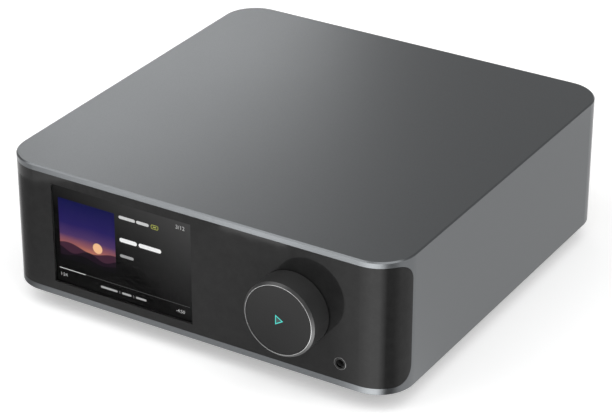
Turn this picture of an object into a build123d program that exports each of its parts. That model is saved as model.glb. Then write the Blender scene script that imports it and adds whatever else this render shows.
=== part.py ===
"""Network music streamer: a square aluminium housing with a wrap-round glossy front,
a colour display, a big volume ring round a lit play button, a headphone socket,
a full set of rear sockets and the electronics inside.

Millimetres, +Z up. The front faces -Y, and the origin is on the surface that the
feet stand on, under the middle of the housing.
"""

from build123d import *
import os

# Housing
CASE_W = 200.0
CASE_D = 200.0
CASE_H = 63.5
CASE_LIFT = 9.0
CORNER_R = 17.0
WALL = 2.4
LID_T = 2.4
TOP_CHAMFER = 0.6
RIM_CHAMFER = 0.4
POST_INSET = 12.5
POST_FRONT_INSET = 38.0
POST_REAR_INSET = 32.0
POST_R = 4.0
RIB_T = 3.0

# Screws and clearances
SCREW_R = 1.5
SCREW_HEAD_R = 2.8
SCREW_HEAD_H = 1.5
SCREW_GRIP = 8.0
SMALL_SCREW_R = 0.9
SMALL_HEAD_R = 1.9
SMALL_HEAD_H = 1.1
DRIVE_R = 1.0
DRIVE_DEPTH = 0.7
THREAD_GAP = 0.05
HOLE_GAP = 0.2
FIT_GAP = 0.05
OVERRUN = 1.0

# Front panel that wraps round both front corners
BAND_LOW = 3.2
BAND_HIGH = 2.85
SIDE_REACH = 15.0
END_R = 8.5
SEAM = 0.12
FASCIA_T = 2.4
BACKING_T = 1.4
BACKING_GAP = 0.1
BACKING_LAP = 5.0
LUG_INSET = 16.0
LUG_W = 9.0
LUG_D = 8.0
LUG_H = 6.0
LUG_BOSS_R = 3.5
LUG_BOSS_H = 3.0

# Base with its recessed plinth and feet
FLANGE_T = 2.4
BASE_GAP = 0.15
PLINTH_INSET = 25.0
PLINTH_R = 12.0
PAN_WALL = 2.4
FOOT_R = 9.0
FOOT_H = 3.8
FOOT_SUNK = 0.8
FOOT_CHAMFER = 0.8
FOOT_INSET = 15.0
HEAD_SUNK = 1.4
VENT_L = 30.0
VENT_W = 2.2
VENT_PITCH = 6.0
VENT_COUNT = 9
VENT_ROWS_Y = 34.0
STANDOFF_R = 3.2
RAIL_H = 3.8
RAIL_END_GAP = 27.0
RAIL_T = 2.0

# Rear panel
REAR_SIDE = 18.0
REAR_BAND_LOW = 4.0
REAR_BAND_HIGH = 4.0
REAR_OPEN_R = 6.0
PANEL_INSET = 1.0
PANEL_T = 2.0
PANEL_GAP = 0.15
PANEL_SCREW_INSET = 6.0
PANEL_SCREW_RISE = 34.0
PANEL_SCREW_STEP = 20.0
PANEL_BOSS_R = 3.5
CUT_GAP = 0.25

# Display
SCREEN_SIDE = 26.7
SCREEN_KNOB_GAP = 34.25
SCREEN_MARGIN = 4.225
GLASS_GAP = 0.08
GLASS_DEPTH = 1.0
BOND_T = 0.2
PANEL_BORDER_W = 2.1
PANEL_BORDER_H = 2.8
POCKET_GAP = 0.2
BRACKET_LAP = 8.3
BRACKET_DRAWN_IN = 4.5
BRACKET_T = 1.2
BRACKET_BAR = 14.0
BRACKET_SCREW_INSET = 3.0
BRACKET_SCREW_END = 6.0
DISPLAY_SCREW_GRIP = 2.6

# Volume ring with the play button at its middle
KNOB_INSET = 48.3
KNOB_R = 17.35
KNOB_FACE_R = 16.06
KNOB_PROUD = 13.0
KNOB_GAP = 0.8
KNOB_SKIRT = 1.8
KNOB_WEB = 2.0
TRIM_H = 1.0
TRIM_LAND = 0.12
HUB_R = 9.0
HUB_BORE_GAP = 0.3
BUTTON_T = 1.6
BUTTON_GAP = 0.11
BUTTON_SUNK = 0.1
PUSH_TRAVEL = 0.5
PUSH_SPARE = 0.4
BUTTON_SLOPE = 0.2
SYMBOL_H = 4.8
SYMBOL_W = 3.95
SYMBOL_R = 0.12
SYMBOL_FIT = 0.03
SLEEVE_R = 7.0
GUIDE_R = 5.0
SLEEVE_FLANGE_R = 10.0
SLEEVE_FLANGE_T = 2.0
FASCIA_BOSS_R = 10.6
FASCIA_BOSS_T = 2.0
WASHER_T = 0.5
WASHER_PLAY = 0.1
WHEEL_R = 14.0
WHEEL_T = 1.2
WHEEL_SLOTS = 24
WHEEL_SLOT_W = 0.8
WHEEL_SLOT_L = 1.8
WHEEL_RIM = 0.8
CLIP_T = 0.9
CLIP_R = 10.6
CLIP_BITE = 0.8
CLIP_MOUTH = 6.0
HUB_TAIL = 1.0

# Control board behind the volume ring
BOARD_T = 1.6
CONTROL_BACK = 16.0
CONTROL_SHIFT = 6.3
CONTROL_END = 11.9
CONTROL_MARGIN = 3.225
CONTROL_BOSS_SIDE = 4.0
CONTROL_BOSS_END = 10.5
CONTROL_BOSS_R = 3.0
SWITCH_W = 6.0
SWITCH_H = 3.4
PLUNGER_R = 1.75
PLUNGER_SHOW = 1.0
PLUNGER_SUNK = 0.7
SWITCH_SPARE = 0.1
LIGHT_W = 0.9
LIGHT_H = 0.8
LIGHT_X = 3.8
SENSOR_W = 8.0
SENSOR_LEG = 1.2
SENSOR_REACH = 3.0
SENSOR_FOOT = 4.5
SENSOR_AIR = 0.9

# Headphone socket
PHONES_INSET = 25.9
PHONES_RISE = 11.3
JACK_BORE_R = 1.8
JACK_DEPTH = 13.0
NOSE_R = 2.25
BEZEL_R = 2.95
BEZEL_T = 1.0
BEZEL_PROUD = 0.1
BEZEL_BORE_R = 1.9
JACK_W = 8.0
JACK_H = 9.0

# Main board and what stands on it
BOARD_RISE = 8.0
MAIN_RIGHT_INSET = 18.0
MAIN_FRONT_INSET = 40.0
MAIN_EDGE_GAP = 0.5
HOLE_INSET_LEFT = 7.0
HOLE_INSET_RIGHT = 14.0
HOLE_INSET_FRONT = 14.0
HOLE_INSET_REAR = 30.5
SHIELD_SHIFT_X = -18.5
SHIELD_SHIFT_Y = -10.0
SHIELD_W = 46.0
SHIELD_D = 38.0
SHIELD_H = 5.0
SHIELD_T = 0.4
SHIELD_PAD = 12.0
CHIP_H = 1.4
CHIP_SMALL = 7.0
CHIP_LARGE = 12.0
CHIP_SHIFT_X = 21.5
CHIP_BEHIND_CAPS = 18.25
CHIP_PITCH = 22.0
RADIO_W = 18.0
RADIO_D = 22.0
RADIO_H = 2.4
RADIO_INSET = 19.0
RADIO_REAR_INSET = 50.0
AERIAL_W = 34.0
AERIAL_H = 8.0
AERIAL_T = 0.8
AERIAL_DROP = 9.5
AERIAL_X = 40.0
SOCKET_W = 26.0
SOCKET_D = 5.0
SOCKET_H = 2.6
RIBBON_W = 20.0
RIBBON_T = 0.3
RIBBON_BEND = 3.0
RIBBON_RUN = 9.0
RIBBON_DROP = 8.0
CONTROL_RIBBON_W = 14.0
CAP_R = 5.0
CAP_H = 16.0
CAP_GROOVE = 0.5
CAP_PITCH = 14.0
CAP_COUNT = 4
CAP_SHIFT_X = 4.0
CAP_FRONT_INSET = 24.0

# Power supply
SUPPLY_INSET = 8.0
SUPPLY_W = 32.0
SUPPLY_FRONT_INSET = 56.0
SUPPLY_REAR_INSET = 40.0
BOARD_SPACING = 3.0
SUPPLY_HOLE_X = 5.5
SUPPLY_HOLE_Y = 8.0
CORE_W = 25.0
CORE_D = 28.0
CORE_H = 22.0
CORE_LEG = 5.0
COIL_R = 10.0
CORE_SHIFT_Y = -4.0
BULK_R = 7.0
BULK_H = 24.0
BULK_FRONT_INSET = 9.5
SINK_W = 26.0
SINK_D = 10.0
SINK_H = 20.0
SINK_BASE = 2.5
FIN_T = 1.2
FIN_COUNT = 6
SINK_REAR_INSET = 23.0

# Mains inlet, figure-of-eight type
MAINS_RISE = 19.0
MAINS_W = 20.0
MAINS_H = 13.0
MAINS_R = 3.0
MAINS_DEPTH = 16.0
MAINS_CAVITY = 10.0
MAINS_LOBE_R = 4.4
MAINS_PIN_GAP = 8.6
MAINS_PIN_R = 1.2
MAINS_PIN_SUNK = 1.5
MAINS_PIN_TAIL = 4.0
MAINS_LIP = 2.0
MAINS_LIP_T = 1.5

# Round audio sockets in stacked pairs
RCA_RISE = 6.5
RCA_STEP = 14.0
RCA_W = 11.0
RCA_H = 27.5
RCA_D = 12.5
RCA_R = 4.15
RCA_BORE_R = 3.6
RCA_PROUD = 9.0
RCA_SUNK = 3.0
RCA_INSERT_SHY = 0.8
RCA_INSERT_BORE_R = 1.7
RCA_FIT = 0.05
RCA_COLLAR = 0.4

# Optical sockets, one above the other, with swing-in doors
OPTICAL_W = 9.8
OPTICAL_H = 11.0
OPTICAL_D = 14.0
OPTICAL_HOLE_W = 7.8
OPTICAL_HOLE_H = 8.2
OPTICAL_HOLE_D = 9.6
OPTICAL_SILL = 1.2
OPTICAL_EYE_R = 1.6
OPTICAL_EYE_L = 1.4
DOOR_GAP = 0.15
DOOR_T = 0.9
DOOR_PIN_R = 0.35
DOOR_PIN_L = 0.7

# Other rear sockets
TRIGGER_W = 8.0
TRIGGER_H = 9.0
TRIGGER_NOSE_R = 2.8
HDMI_W = 15.0
HDMI_H = 5.6
HDMI_D = 12.0
HDMI_T = 0.5
HDMI_SLANT = 1.6
HDMI_TONGUE_W = 11.4
HDMI_TONGUE_T = 1.0
HDMI_LIFT = 0.6
USB_W = 13.2
USB_H = 6.0
USB_D = 14.0
USB_T = 0.4
USB_TONGUE_T = 1.9
USB_TONGUE_W = 11.0
USB_FLOOR = 2.0
LAN_W = 16.0
LAN_H = 13.6
LAN_D = 20.0
LAN_HOLE_W = 11.9
LAN_HOLE_H = 7.6
LAN_HOLE_D = 13.5
LAN_KEY_W = 6.2
LAN_KEY_H = 1.7
LAN_SILL = 3.8

# Ground terminal
GROUND_RISE = 20.0
STUD_R = 2.0
STUD_PROUD = 10.0
STUD_TAIL = 5.0
STUD_FLANGE_R = 4.5
STUD_FLANGE_T = 1.0
STUD_NUT_R = 4.0
STUD_NUT_T = 2.6
NUT_R = 5.0
NUT_T = 5.0
NUT_NECK_R = 3.8
NUT_NECK_T = 1.2
NUT_GROOVES = 18
NUT_GROOVE_R = 0.35
STUD_FIT = 0.06
GROUND_WASHER_T = 0.8

# Even row of rear sockets
PORT_MARGIN = 2.0

# Thin wires inside
MAINS_WIRE_R = 1.0
AERIAL_WIRE_R = 0.6
WIRE_BEND = 3.0
WIRE_ARCH = 6.0
LINK_WIRES = 3
LINK_INSET = 2.0

# Places worked out from the sizes above
FRONT = -CASE_D / 2
REAR = CASE_D / 2
RIGHT = CASE_W / 2
LEFT = -CASE_W / 2
POST_X = RIGHT - POST_INSET
PLINTH_W = CASE_W - 2 * PLINTH_INSET
PLINTH_D = CASE_D - 2 * PLINTH_INSET
LUG_X = RIGHT - LUG_INSET
REAR_OPEN_W = CASE_W - 2 * REAR_SIDE
PANEL_SCREW_X = REAR_OPEN_W / 2 - PANEL_SCREW_INSET
CASE_TOP = CASE_LIFT + CASE_H
LID_UNDER = CASE_TOP - LID_T
FASCIA_LOW = CASE_LIFT + BAND_LOW
FASCIA_H = CASE_H - BAND_LOW - BAND_HIGH
FACE_Z = FASCIA_LOW + FASCIA_H / 2
FASCIA_BACK = FRONT + FASCIA_T + BACKING_GAP + BACKING_T
FLANGE_TOP = FASCIA_LOW
PAN_LOW = FOOT_H - FOOT_SUNK
PAN_FLOOR = PAN_LOW + PAN_WALL
BOARD_UNDER = CASE_LIFT + BOARD_RISE
BOARD_TOP = BOARD_UNDER + BOARD_T
LUG_Y = FASCIA_BACK + LUG_D / 2
LUG_LOW = FLANGE_TOP + BACKING_GAP
LUG_HIGH = LID_UNDER - LUG_BOSS_H - LUG_H
PANEL_OUT = REAR - PANEL_INSET
PANEL_IN = PANEL_OUT - PANEL_T
PANEL_Z = CASE_LIFT + (CASE_H + REAR_BAND_LOW - REAR_BAND_HIGH) / 2
REAR_OPEN_H = CASE_H - REAR_BAND_LOW - REAR_BAND_HIGH
KNOB_X = RIGHT - KNOB_INSET
PHONES_X = RIGHT - PHONES_INSET
CONTROL_X = KNOB_X + CONTROL_SHIFT
CONTROL_W = 2 * (PHONES_X + CONTROL_END - CONTROL_X)
CONTROL_H = FASCIA_H - 2 * CONTROL_MARGIN
CONTROL_BOSS_SPREAD = CONTROL_W / 2 - CONTROL_BOSS_SIDE
CONTROL_BOSS_DROP = CONTROL_H / 2 - CONTROL_BOSS_END
SCREEN_LEFT = LEFT + SCREEN_SIDE
SCREEN_W = KNOB_X - KNOB_R - SCREEN_KNOB_GAP - SCREEN_LEFT
SCREEN_H = FASCIA_H - 2 * SCREEN_MARGIN
SCREEN_X = SCREEN_LEFT + SCREEN_W / 2
POCKET_FLOOR = FRONT + GLASS_DEPTH
PANEL_W = SCREEN_W + 2 * PANEL_BORDER_W
PANEL_H = SCREEN_H + 2 * PANEL_BORDER_H
BRACKET_W = SCREEN_W + 2 * BRACKET_LAP
BRACKET_H = SCREEN_H - 2 * BRACKET_DRAWN_IN
BRACKET_SCREW_SPREAD = BRACKET_H / 2 - BRACKET_SCREW_END
KNOB_FRONT = FRONT - KNOB_PROUD
KNOB_BACK = FRONT - KNOB_GAP
TRIM_BACK = KNOB_FRONT + TRIM_H
BUTTON_FRONT = KNOB_FRONT + BUTTON_SUNK
BUTTON_BACK = BUTTON_FRONT + BUTTON_T
WEB_FRONT = BUTTON_BACK + PUSH_TRAVEL + PUSH_SPARE
WEB_BACK = WEB_FRONT + KNOB_WEB
BOSS_BACK = FASCIA_BACK + FASCIA_BOSS_T
WASHER_BACK = BOSS_BACK + WASHER_T
WHEEL_FRONT = WASHER_BACK + WASHER_PLAY
CLIP_FRONT = WHEEL_FRONT + WHEEL_T
HUB_END = CLIP_FRONT + CLIP_T + HUB_TAIL
CONTROL_FRONT = FRONT + CONTROL_BACK
CONTROL_REAR = CONTROL_FRONT + BOARD_T
SWITCH_FRONT = CONTROL_FRONT - SWITCH_H
PLUNGER_FRONT = SWITCH_FRONT - PLUNGER_SHOW
PHONES_Z = CASE_LIFT + PHONES_RISE
JACK_FRONT = FRONT - BEZEL_PROUD + BEZEL_T
MAINS_Z = CASE_LIFT + MAINS_RISE
GROUND_Z = CASE_LIFT + GROUND_RISE
RCA_LOW_Z = BOARD_TOP + RCA_RISE
DOOR_AXIS_Y = PANEL_OUT - DOOR_T / 2
DOOR_AXIS_RISE = OPTICAL_SILL + OPTICAL_HOLE_H - DOOR_T / 2 - DOOR_GAP
STUD_FRONT = PANEL_OUT + STUD_FLANGE_T

SUPPLY_LEFT = LEFT + SUPPLY_INSET
SUPPLY_RIGHT = SUPPLY_LEFT + SUPPLY_W
SUPPLY_FRONT = FRONT + SUPPLY_FRONT_INSET
SUPPLY_REAR = REAR - SUPPLY_REAR_INSET
SUPPLY_X = (SUPPLY_LEFT + SUPPLY_RIGHT) / 2
SUPPLY_Y = (SUPPLY_FRONT + SUPPLY_REAR) / 2
MAIN_LEFT = SUPPLY_RIGHT + BOARD_SPACING
MAIN_RIGHT = RIGHT - MAIN_RIGHT_INSET
MAIN_FRONT = FRONT + MAIN_FRONT_INSET
MAIN_REAR = PANEL_IN - MAIN_EDGE_GAP
MAIN_X = (MAIN_LEFT + MAIN_RIGHT) / 2
MAIN_Y = (MAIN_FRONT + MAIN_REAR) / 2

# Rear sockets from the viewer's right, when seen from behind, with even gaps between them
PORT_WIDTHS = [
    ("mains", MAINS_W + 2 * MAINS_LIP),
    ("network", LAN_W),
    ("hdmi", HDMI_W),
    ("trigger", TRIGGER_W),
    ("optical", OPTICAL_W),
    ("digital", RCA_W),
    ("line out", RCA_W),
    ("line in", RCA_W),
    ("ground", 2 * NUT_R),
]
PORT_SPAN = REAR_OPEN_W - 2 * PORT_MARGIN
PORT_GAP = (PORT_SPAN - sum(width for name, width in PORT_WIDTHS)) / (len(PORT_WIDTHS) - 1)
PORT_X = {}
port_edge = -PORT_SPAN / 2
for name, width in PORT_WIDTHS:
    PORT_X[name] = port_edge + width / 2
    port_edge += width + PORT_GAP
MAINS_X = PORT_X["mains"]
TRIGGER_X = PORT_X["trigger"]
HDMI_X = PORT_X["hdmi"]
LAN_X = PORT_X["network"]
OPTICAL_X = PORT_X["optical"]
GROUND_X = PORT_X["ground"]
DIGITAL_X = PORT_X["digital"]
ANALOGUE_XS = [PORT_X["line in"], PORT_X["line out"]]
RCA_XS = ANALOGUE_XS + [DIGITAL_X]
RCA_ZS = [RCA_LOW_Z, RCA_LOW_Z + RCA_STEP]
USB_LOW = BOARD_TOP + LAN_H
OPTICAL_IN_LOW = BOARD_TOP
OPTICAL_OUT_LOW = BOARD_TOP + OPTICAL_H

POST_YS = (FRONT + POST_FRONT_INSET, REAR - POST_REAR_INSET)
LID_POSTS = [(side * POST_X, y) for side in (-1, 1) for y in POST_YS]
LUG_PLACES = [(side * LUG_X, LUG_Y) for side in (-1, 1)]
PANEL_SCREWS = [
    (side * PANEL_SCREW_X, CASE_LIFT + PANEL_SCREW_RISE + row * PANEL_SCREW_STEP)
    for side in (-1, 1)
    for row in (0, 1)
]
FOOT_PLACES = [
    (side * (PLINTH_W / 2 - FOOT_INSET), end * (PLINTH_D / 2 - FOOT_INSET))
    for side in (-1, 1)
    for end in (-1, 1)
]
MAIN_HOLES = [
    (x, y)
    for x in (MAIN_LEFT + HOLE_INSET_LEFT, MAIN_RIGHT - HOLE_INSET_RIGHT)
    for y in (MAIN_FRONT + HOLE_INSET_FRONT, MAIN_REAR - HOLE_INSET_REAR)
]
SUPPLY_HOLES = [
    (x, y)
    for x in (SUPPLY_LEFT + SUPPLY_HOLE_X, SUPPLY_RIGHT - SUPPLY_HOLE_X)
    for y in (SUPPLY_FRONT + SUPPLY_HOLE_Y, SUPPLY_REAR - SUPPLY_HOLE_Y)
]
CONTROL_BOSSES = [
    (CONTROL_X + side * CONTROL_BOSS_SPREAD, FACE_Z + end * CONTROL_BOSS_DROP)
    for side in (-1, 1)
    for end in (-1, 1)
]
BRACKET_SCREWS = [
    (SCREEN_X + side * (BRACKET_W / 2 - BRACKET_SCREW_INSET), FACE_Z + end * BRACKET_SCREW_SPREAD)
    for side in (-1, 1)
    for end in (-1, 1)
]


def level(z, x=0, y=0):
    """Plane that lies flat at this height, with its normal up"""
    return Plane(origin=(x, y, z), x_dir=(1, 0, 0), z_dir=(0, 0, 1))


def upright(y, x=0, z=0):
    """Plane that stands across Y at this place, with its normal to the rear"""
    return Plane(origin=(x, y, z), x_dir=(1, 0, 0), z_dir=(0, 1, 0))


def sideways(x, y=0, z=0):
    """Plane that stands across X at this place, with its own axes along Y and Z"""
    return Plane(origin=(x, y, z), x_dir=(0, 1, 0), z_dir=(1, 0, 0))


def block(plane, size_u, size_v, depth, radius=0, mode=Mode.ADD):
    """Block on a plane, with round corners where a radius is given"""
    with BuildSketch(plane) as outline:
        if radius:
            RectangleRounded(size_u, size_v, radius)
        else:
            Rectangle(size_u, size_v)
    extrude(outline.sketch, amount=depth, mode=mode)


def disc(plane, radius, depth, bore=0, mode=Mode.ADD):
    """Round disc, rod or ring on a plane"""
    with BuildSketch(plane) as outline:
        Circle(radius)
        if bore:
            Circle(bore, mode=Mode.SUBTRACT)
    extrude(outline.sketch, amount=depth, mode=mode)


def turned(x, z, points, mode=Mode.ADD):
    """Solid turned about the line along Y through x, z from (radius, y) points"""
    with BuildSketch(Plane(origin=(x, 0, z))) as outline:
        with BuildLine():
            Polyline(*points, close=True)
        make_face()
    revolve(outline.sketch, axis=Axis((x, 0, z), (0, 1, 0)), mode=mode)


def case_outline(inset):
    """Width, depth and corner radius of the housing's plan, drawn in by an inset"""
    return CASE_W - 2 * inset, CASE_D - 2 * inset, CORNER_R - inset


def case_block(z, height, inset, mode=Mode.ADD):
    """Upright prism of the housing's plan, drawn in by an inset"""
    width, depth, radius = case_outline(inset)
    block(level(z), width, depth, height, radius, mode)


def front_window(gap, mode):
    """Side-to-side prism of the front opening, smaller by a gap all round"""
    plane = sideways(-CASE_W, FRONT, FACE_Z)
    block(plane, 2 * (SIDE_REACH - gap), FASCIA_H - 2 * gap, 2 * CASE_W, END_R - gap, mode)


def screw(plane, grip, radius=SCREW_R, head_r=SCREW_HEAD_R, head_h=SCREW_HEAD_H):
    """Pan-head screw whose head stands on the back of a plane, with its shank along the normal"""
    under = Plane(origin=plane.origin - plane.z_dir * head_h, x_dir=plane.x_dir, z_dir=plane.z_dir)
    disc(under, head_r, head_h)
    disc(plane, radius, grip)
    with BuildSketch(under) as drive:
        RegularPolygon(DRIVE_R * head_r / SCREW_HEAD_R, 6)
    extrude(drive.sketch, amount=DRIVE_DEPTH * head_h / SCREW_HEAD_H, mode=Mode.SUBTRACT)


def strip(x, width, points, bend):
    """Flat ribbon of constant thickness along (y, z) points, centred on x"""
    with BuildSketch(sideways(x - width / 2)) as section:
        with BuildLine() as path:
            FilletPolyline(*points, radius=bend)
        trace(path.line, line_width=RIBBON_T)
    extrude(section.sketch, amount=width)


def wire(points, radius, bend):
    """Round wire along straight runs joined by arcs"""
    with BuildLine() as path:
        FilletPolyline(*points, radius=bend)
    start = Plane(origin=path.line @ 0, z_dir=path.line % 0)
    with BuildSketch(start) as section:
        Circle(radius)
    sweep(section.sketch, path=path.line)


def save(builder, name):
    """Label a finished piece and write its file"""
    builder.part.label = name
    export_step(builder.part, f"parts/{name}.step")


os.makedirs("parts", exist_ok=True)

# Housing shell: top, sides and rear in one aluminium piece
with BuildPart() as top_housing:
    case_block(CASE_LIFT, CASE_H, 0)
    chamfer(top_housing.faces().sort_by(Axis.Z)[-1].edges(), TOP_CHAMFER)
    chamfer(top_housing.faces().sort_by(Axis.Z)[0].edges(), RIM_CHAMFER)
    case_block(CASE_LIFT - OVERRUN, CASE_H - LID_T + OVERRUN, WALL, Mode.SUBTRACT)
    front_window(0, Mode.SUBTRACT)
    rear_cut = upright(PANEL_IN - OVERRUN, 0, PANEL_Z)
    block(rear_cut, REAR_OPEN_W, REAR_OPEN_H, CORNER_R, REAR_OPEN_R, Mode.SUBTRACT)
    rib_end = CASE_W / 2 - WALL / 2
    for x, y in LID_POSTS:
        side = 1 if x > 0 else -1
        disc(level(FLANGE_TOP, x, y), POST_R, LID_UNDER + LID_T / 2 - FLANGE_TOP)
        rib_x = side * (POST_X + rib_end) / 2
        block(level(FLANGE_TOP, rib_x, y), rib_end - POST_X, RIB_T, LID_UNDER + LID_T / 2 - FLANGE_TOP)
        disc(level(FLANGE_TOP, x, y), SCREW_R + THREAD_GAP, SCREW_GRIP, mode=Mode.SUBTRACT)
    boss_start = REAR - CORNER_R - RIB_T
    for x, z in PANEL_SCREWS:
        side = 1 if x > 0 else -1
        disc(upright(boss_start, x, z), PANEL_BOSS_R, PANEL_IN - boss_start)
        rib_x = side * (PANEL_SCREW_X + rib_end) / 2
        block(upright(boss_start, rib_x, z), rib_end - PANEL_SCREW_X, RIB_T, RIB_T)
        disc(upright(PANEL_IN - SCREW_GRIP, x, z), SCREW_R + THREAD_GAP, SCREW_GRIP, mode=Mode.SUBTRACT)
    for x, y in LUG_PLACES:
        disc(level(LID_UNDER - LUG_BOSS_H, x, y), LUG_BOSS_R, LUG_BOSS_H + LID_T / 2)
        disc(level(LID_UNDER - LUG_BOSS_H, x, y), SCREW_R + THREAD_GAP, LUG_BOSS_H, mode=Mode.SUBTRACT)
save(top_housing, "top_housing")

# Glossy front panel, flush with the housing and wrapped round both corners
with BuildPart() as front_fascia:
    case_block(CASE_LIFT, CASE_H, 0)
    case_block(CASE_LIFT, CASE_H, FASCIA_T + BACKING_GAP + BACKING_T, Mode.SUBTRACT)
    front_window(SEAM, Mode.INTERSECT)
    with BuildPart(mode=Mode.PRIVATE) as backing:
        low = FLANGE_TOP + BACKING_GAP
        high = LID_UNDER - BACKING_GAP
        case_block(low, high - low, WALL + BACKING_GAP)
        case_block(low, high - low, FASCIA_T + BACKING_GAP + BACKING_T, Mode.SUBTRACT)
        reach = 2 * (SIDE_REACH + BACKING_LAP)
        block(sideways(-CASE_W, FRONT, FACE_Z), reach, CASE_H, 2 * CASE_W, mode=Mode.INTERSECT)
    add(backing.part)
    # Lugs for the screws to the base and to the lid
    for x, y in LUG_PLACES:
        for z in (LUG_LOW, LUG_HIGH):
            block(level(z, x, y - BACKING_T / 2), LUG_W, LUG_D + BACKING_T, LUG_H)
        disc(level(LUG_LOW, x, y), SCREW_R + THREAD_GAP, LUG_H, mode=Mode.SUBTRACT)
        disc(level(LUG_HIGH, x, y), SCREW_R + HOLE_GAP, LUG_H, mode=Mode.SUBTRACT)
    # Display window and the pocket behind it
    block(upright(FRONT - OVERRUN, SCREEN_X, FACE_Z), SCREEN_W, SCREEN_H, 2 * FASCIA_T, mode=Mode.SUBTRACT)
    block(
        upright(POCKET_FLOOR, SCREEN_X, FACE_Z),
        PANEL_W + 2 * POCKET_GAP,
        PANEL_H + 2 * POCKET_GAP,
        2 * FASCIA_T,
        mode=Mode.SUBTRACT,
    )
    for x, z in BRACKET_SCREWS:
        hole = upright(FASCIA_BACK - DISPLAY_SCREW_GRIP, x, z)
        disc(hole, SMALL_SCREW_R + THREAD_GAP, DISPLAY_SCREW_GRIP, mode=Mode.SUBTRACT)
    # Hub bore with its boss, and the bosses that carry the control board
    disc(upright(FASCIA_BACK - BACKING_T, KNOB_X, FACE_Z), FASCIA_BOSS_R, FASCIA_BOSS_T + BACKING_T)
    disc(upright(FRONT - OVERRUN, KNOB_X, FACE_Z), HUB_R + HUB_BORE_GAP, CONTROL_BACK, mode=Mode.SUBTRACT)
    for x, z in CONTROL_BOSSES:
        disc(upright(FASCIA_BACK - BACKING_T, x, z), CONTROL_BOSS_R, CONTROL_FRONT - FASCIA_BACK + BACKING_T)
        hole = upright(CONTROL_FRONT - SCREW_GRIP, x, z)
        disc(hole, SCREW_R + THREAD_GAP, SCREW_GRIP, mode=Mode.SUBTRACT)
    # Headphone socket
    disc(upright(FRONT - OVERRUN, PHONES_X, PHONES_Z), NOSE_R + FIT_GAP, CONTROL_BACK / 2, mode=Mode.SUBTRACT)
    recess = upright(FRONT - OVERRUN, PHONES_X, PHONES_Z)
    disc(recess, BEZEL_R + FIT_GAP, OVERRUN + BEZEL_T - BEZEL_PROUD, mode=Mode.SUBTRACT)
save(front_fascia, "front_fascia")

# Base: a flange that closes the housing round a recessed plinth
with BuildPart() as base_plate:
    case_block(FLANGE_TOP - FLANGE_T, FLANGE_T, WALL + BASE_GAP)
    block(level(PAN_LOW), PLINTH_W, PLINTH_D, FLANGE_TOP - PAN_LOW, PLINTH_R)
    pan_w = PLINTH_W - 2 * PAN_WALL
    pan_d = PLINTH_D - 2 * PAN_WALL
    block(level(PAN_FLOOR), pan_w, pan_d, CASE_LIFT, PLINTH_R - PAN_WALL, Mode.SUBTRACT)
    for x, y in FOOT_PLACES:
        disc(level(PAN_LOW, x, y), FOOT_R + HOLE_GAP, FOOT_SUNK, mode=Mode.SUBTRACT)
    for x, y in LID_POSTS + LUG_PLACES:
        disc(level(FLANGE_TOP - FLANGE_T, x, y), SCREW_R + HOLE_GAP, FLANGE_T, mode=Mode.SUBTRACT)
        disc(level(FLANGE_TOP - FLANGE_T, x, y), SCREW_HEAD_R + HOLE_GAP, HEAD_SUNK, mode=Mode.SUBTRACT)
    for x, y in MAIN_HOLES + SUPPLY_HOLES:
        foot = PAN_FLOOR if abs(x) < pan_w / 2 else FLANGE_TOP
        disc(level(foot - PAN_WALL / 2, x, y), STANDOFF_R, BOARD_UNDER - foot + PAN_WALL / 2)
        hole = level(foot, x, y)
        disc(hole, SCREW_R + THREAD_GAP, BOARD_UNDER - foot, mode=Mode.SUBTRACT)
    # Rail behind the lower edge of the rear panel
    rail_y = PANEL_IN - RAIL_T / 2
    rail_w = REAR_OPEN_W - 2 * RAIL_END_GAP
    block(level(FLANGE_TOP - FLANGE_T / 2, 0, rail_y), rail_w, RAIL_T, RAIL_H + FLANGE_T / 2)
    # Air slots
    for row in (-1, 1):
        for slot in range(VENT_COUNT):
            x = (slot - (VENT_COUNT - 1) / 2) * VENT_PITCH
            with BuildSketch(level(PAN_LOW, x, row * VENT_ROWS_Y)) as slot_outline:
                SlotOverall(VENT_L, VENT_W, rotation=90)
            extrude(slot_outline.sketch, amount=PAN_WALL, mode=Mode.SUBTRACT)
save(base_plate, "base_plate")

with BuildPart() as rubber_feet:
    for x, y in FOOT_PLACES:
        disc(level(0, x, y), FOOT_R, FOOT_H)
    chamfer(rubber_feet.edges().filter_by(GeomType.CIRCLE).group_by(Axis.Z)[0], FOOT_CHAMFER)
save(rubber_feet, "rubber_feet")

with BuildPart() as base_screws:
    for places, bite in ((LID_POSTS, SCREW_GRIP), (LUG_PLACES, LUG_H)):
        for x, y in places:
            head_plane = level(FLANGE_TOP - FLANGE_T + HEAD_SUNK, x, y)
            screw(head_plane, FLANGE_T - HEAD_SUNK + bite - THREAD_GAP)
save(base_screws, "base_screws")

with BuildPart() as fascia_screws:
    for x, y in LUG_PLACES:
        screw(level(LUG_HIGH, x, y), LUG_H + LUG_BOSS_H - THREAD_GAP)
save(fascia_screws, "fascia_screws")

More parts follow.
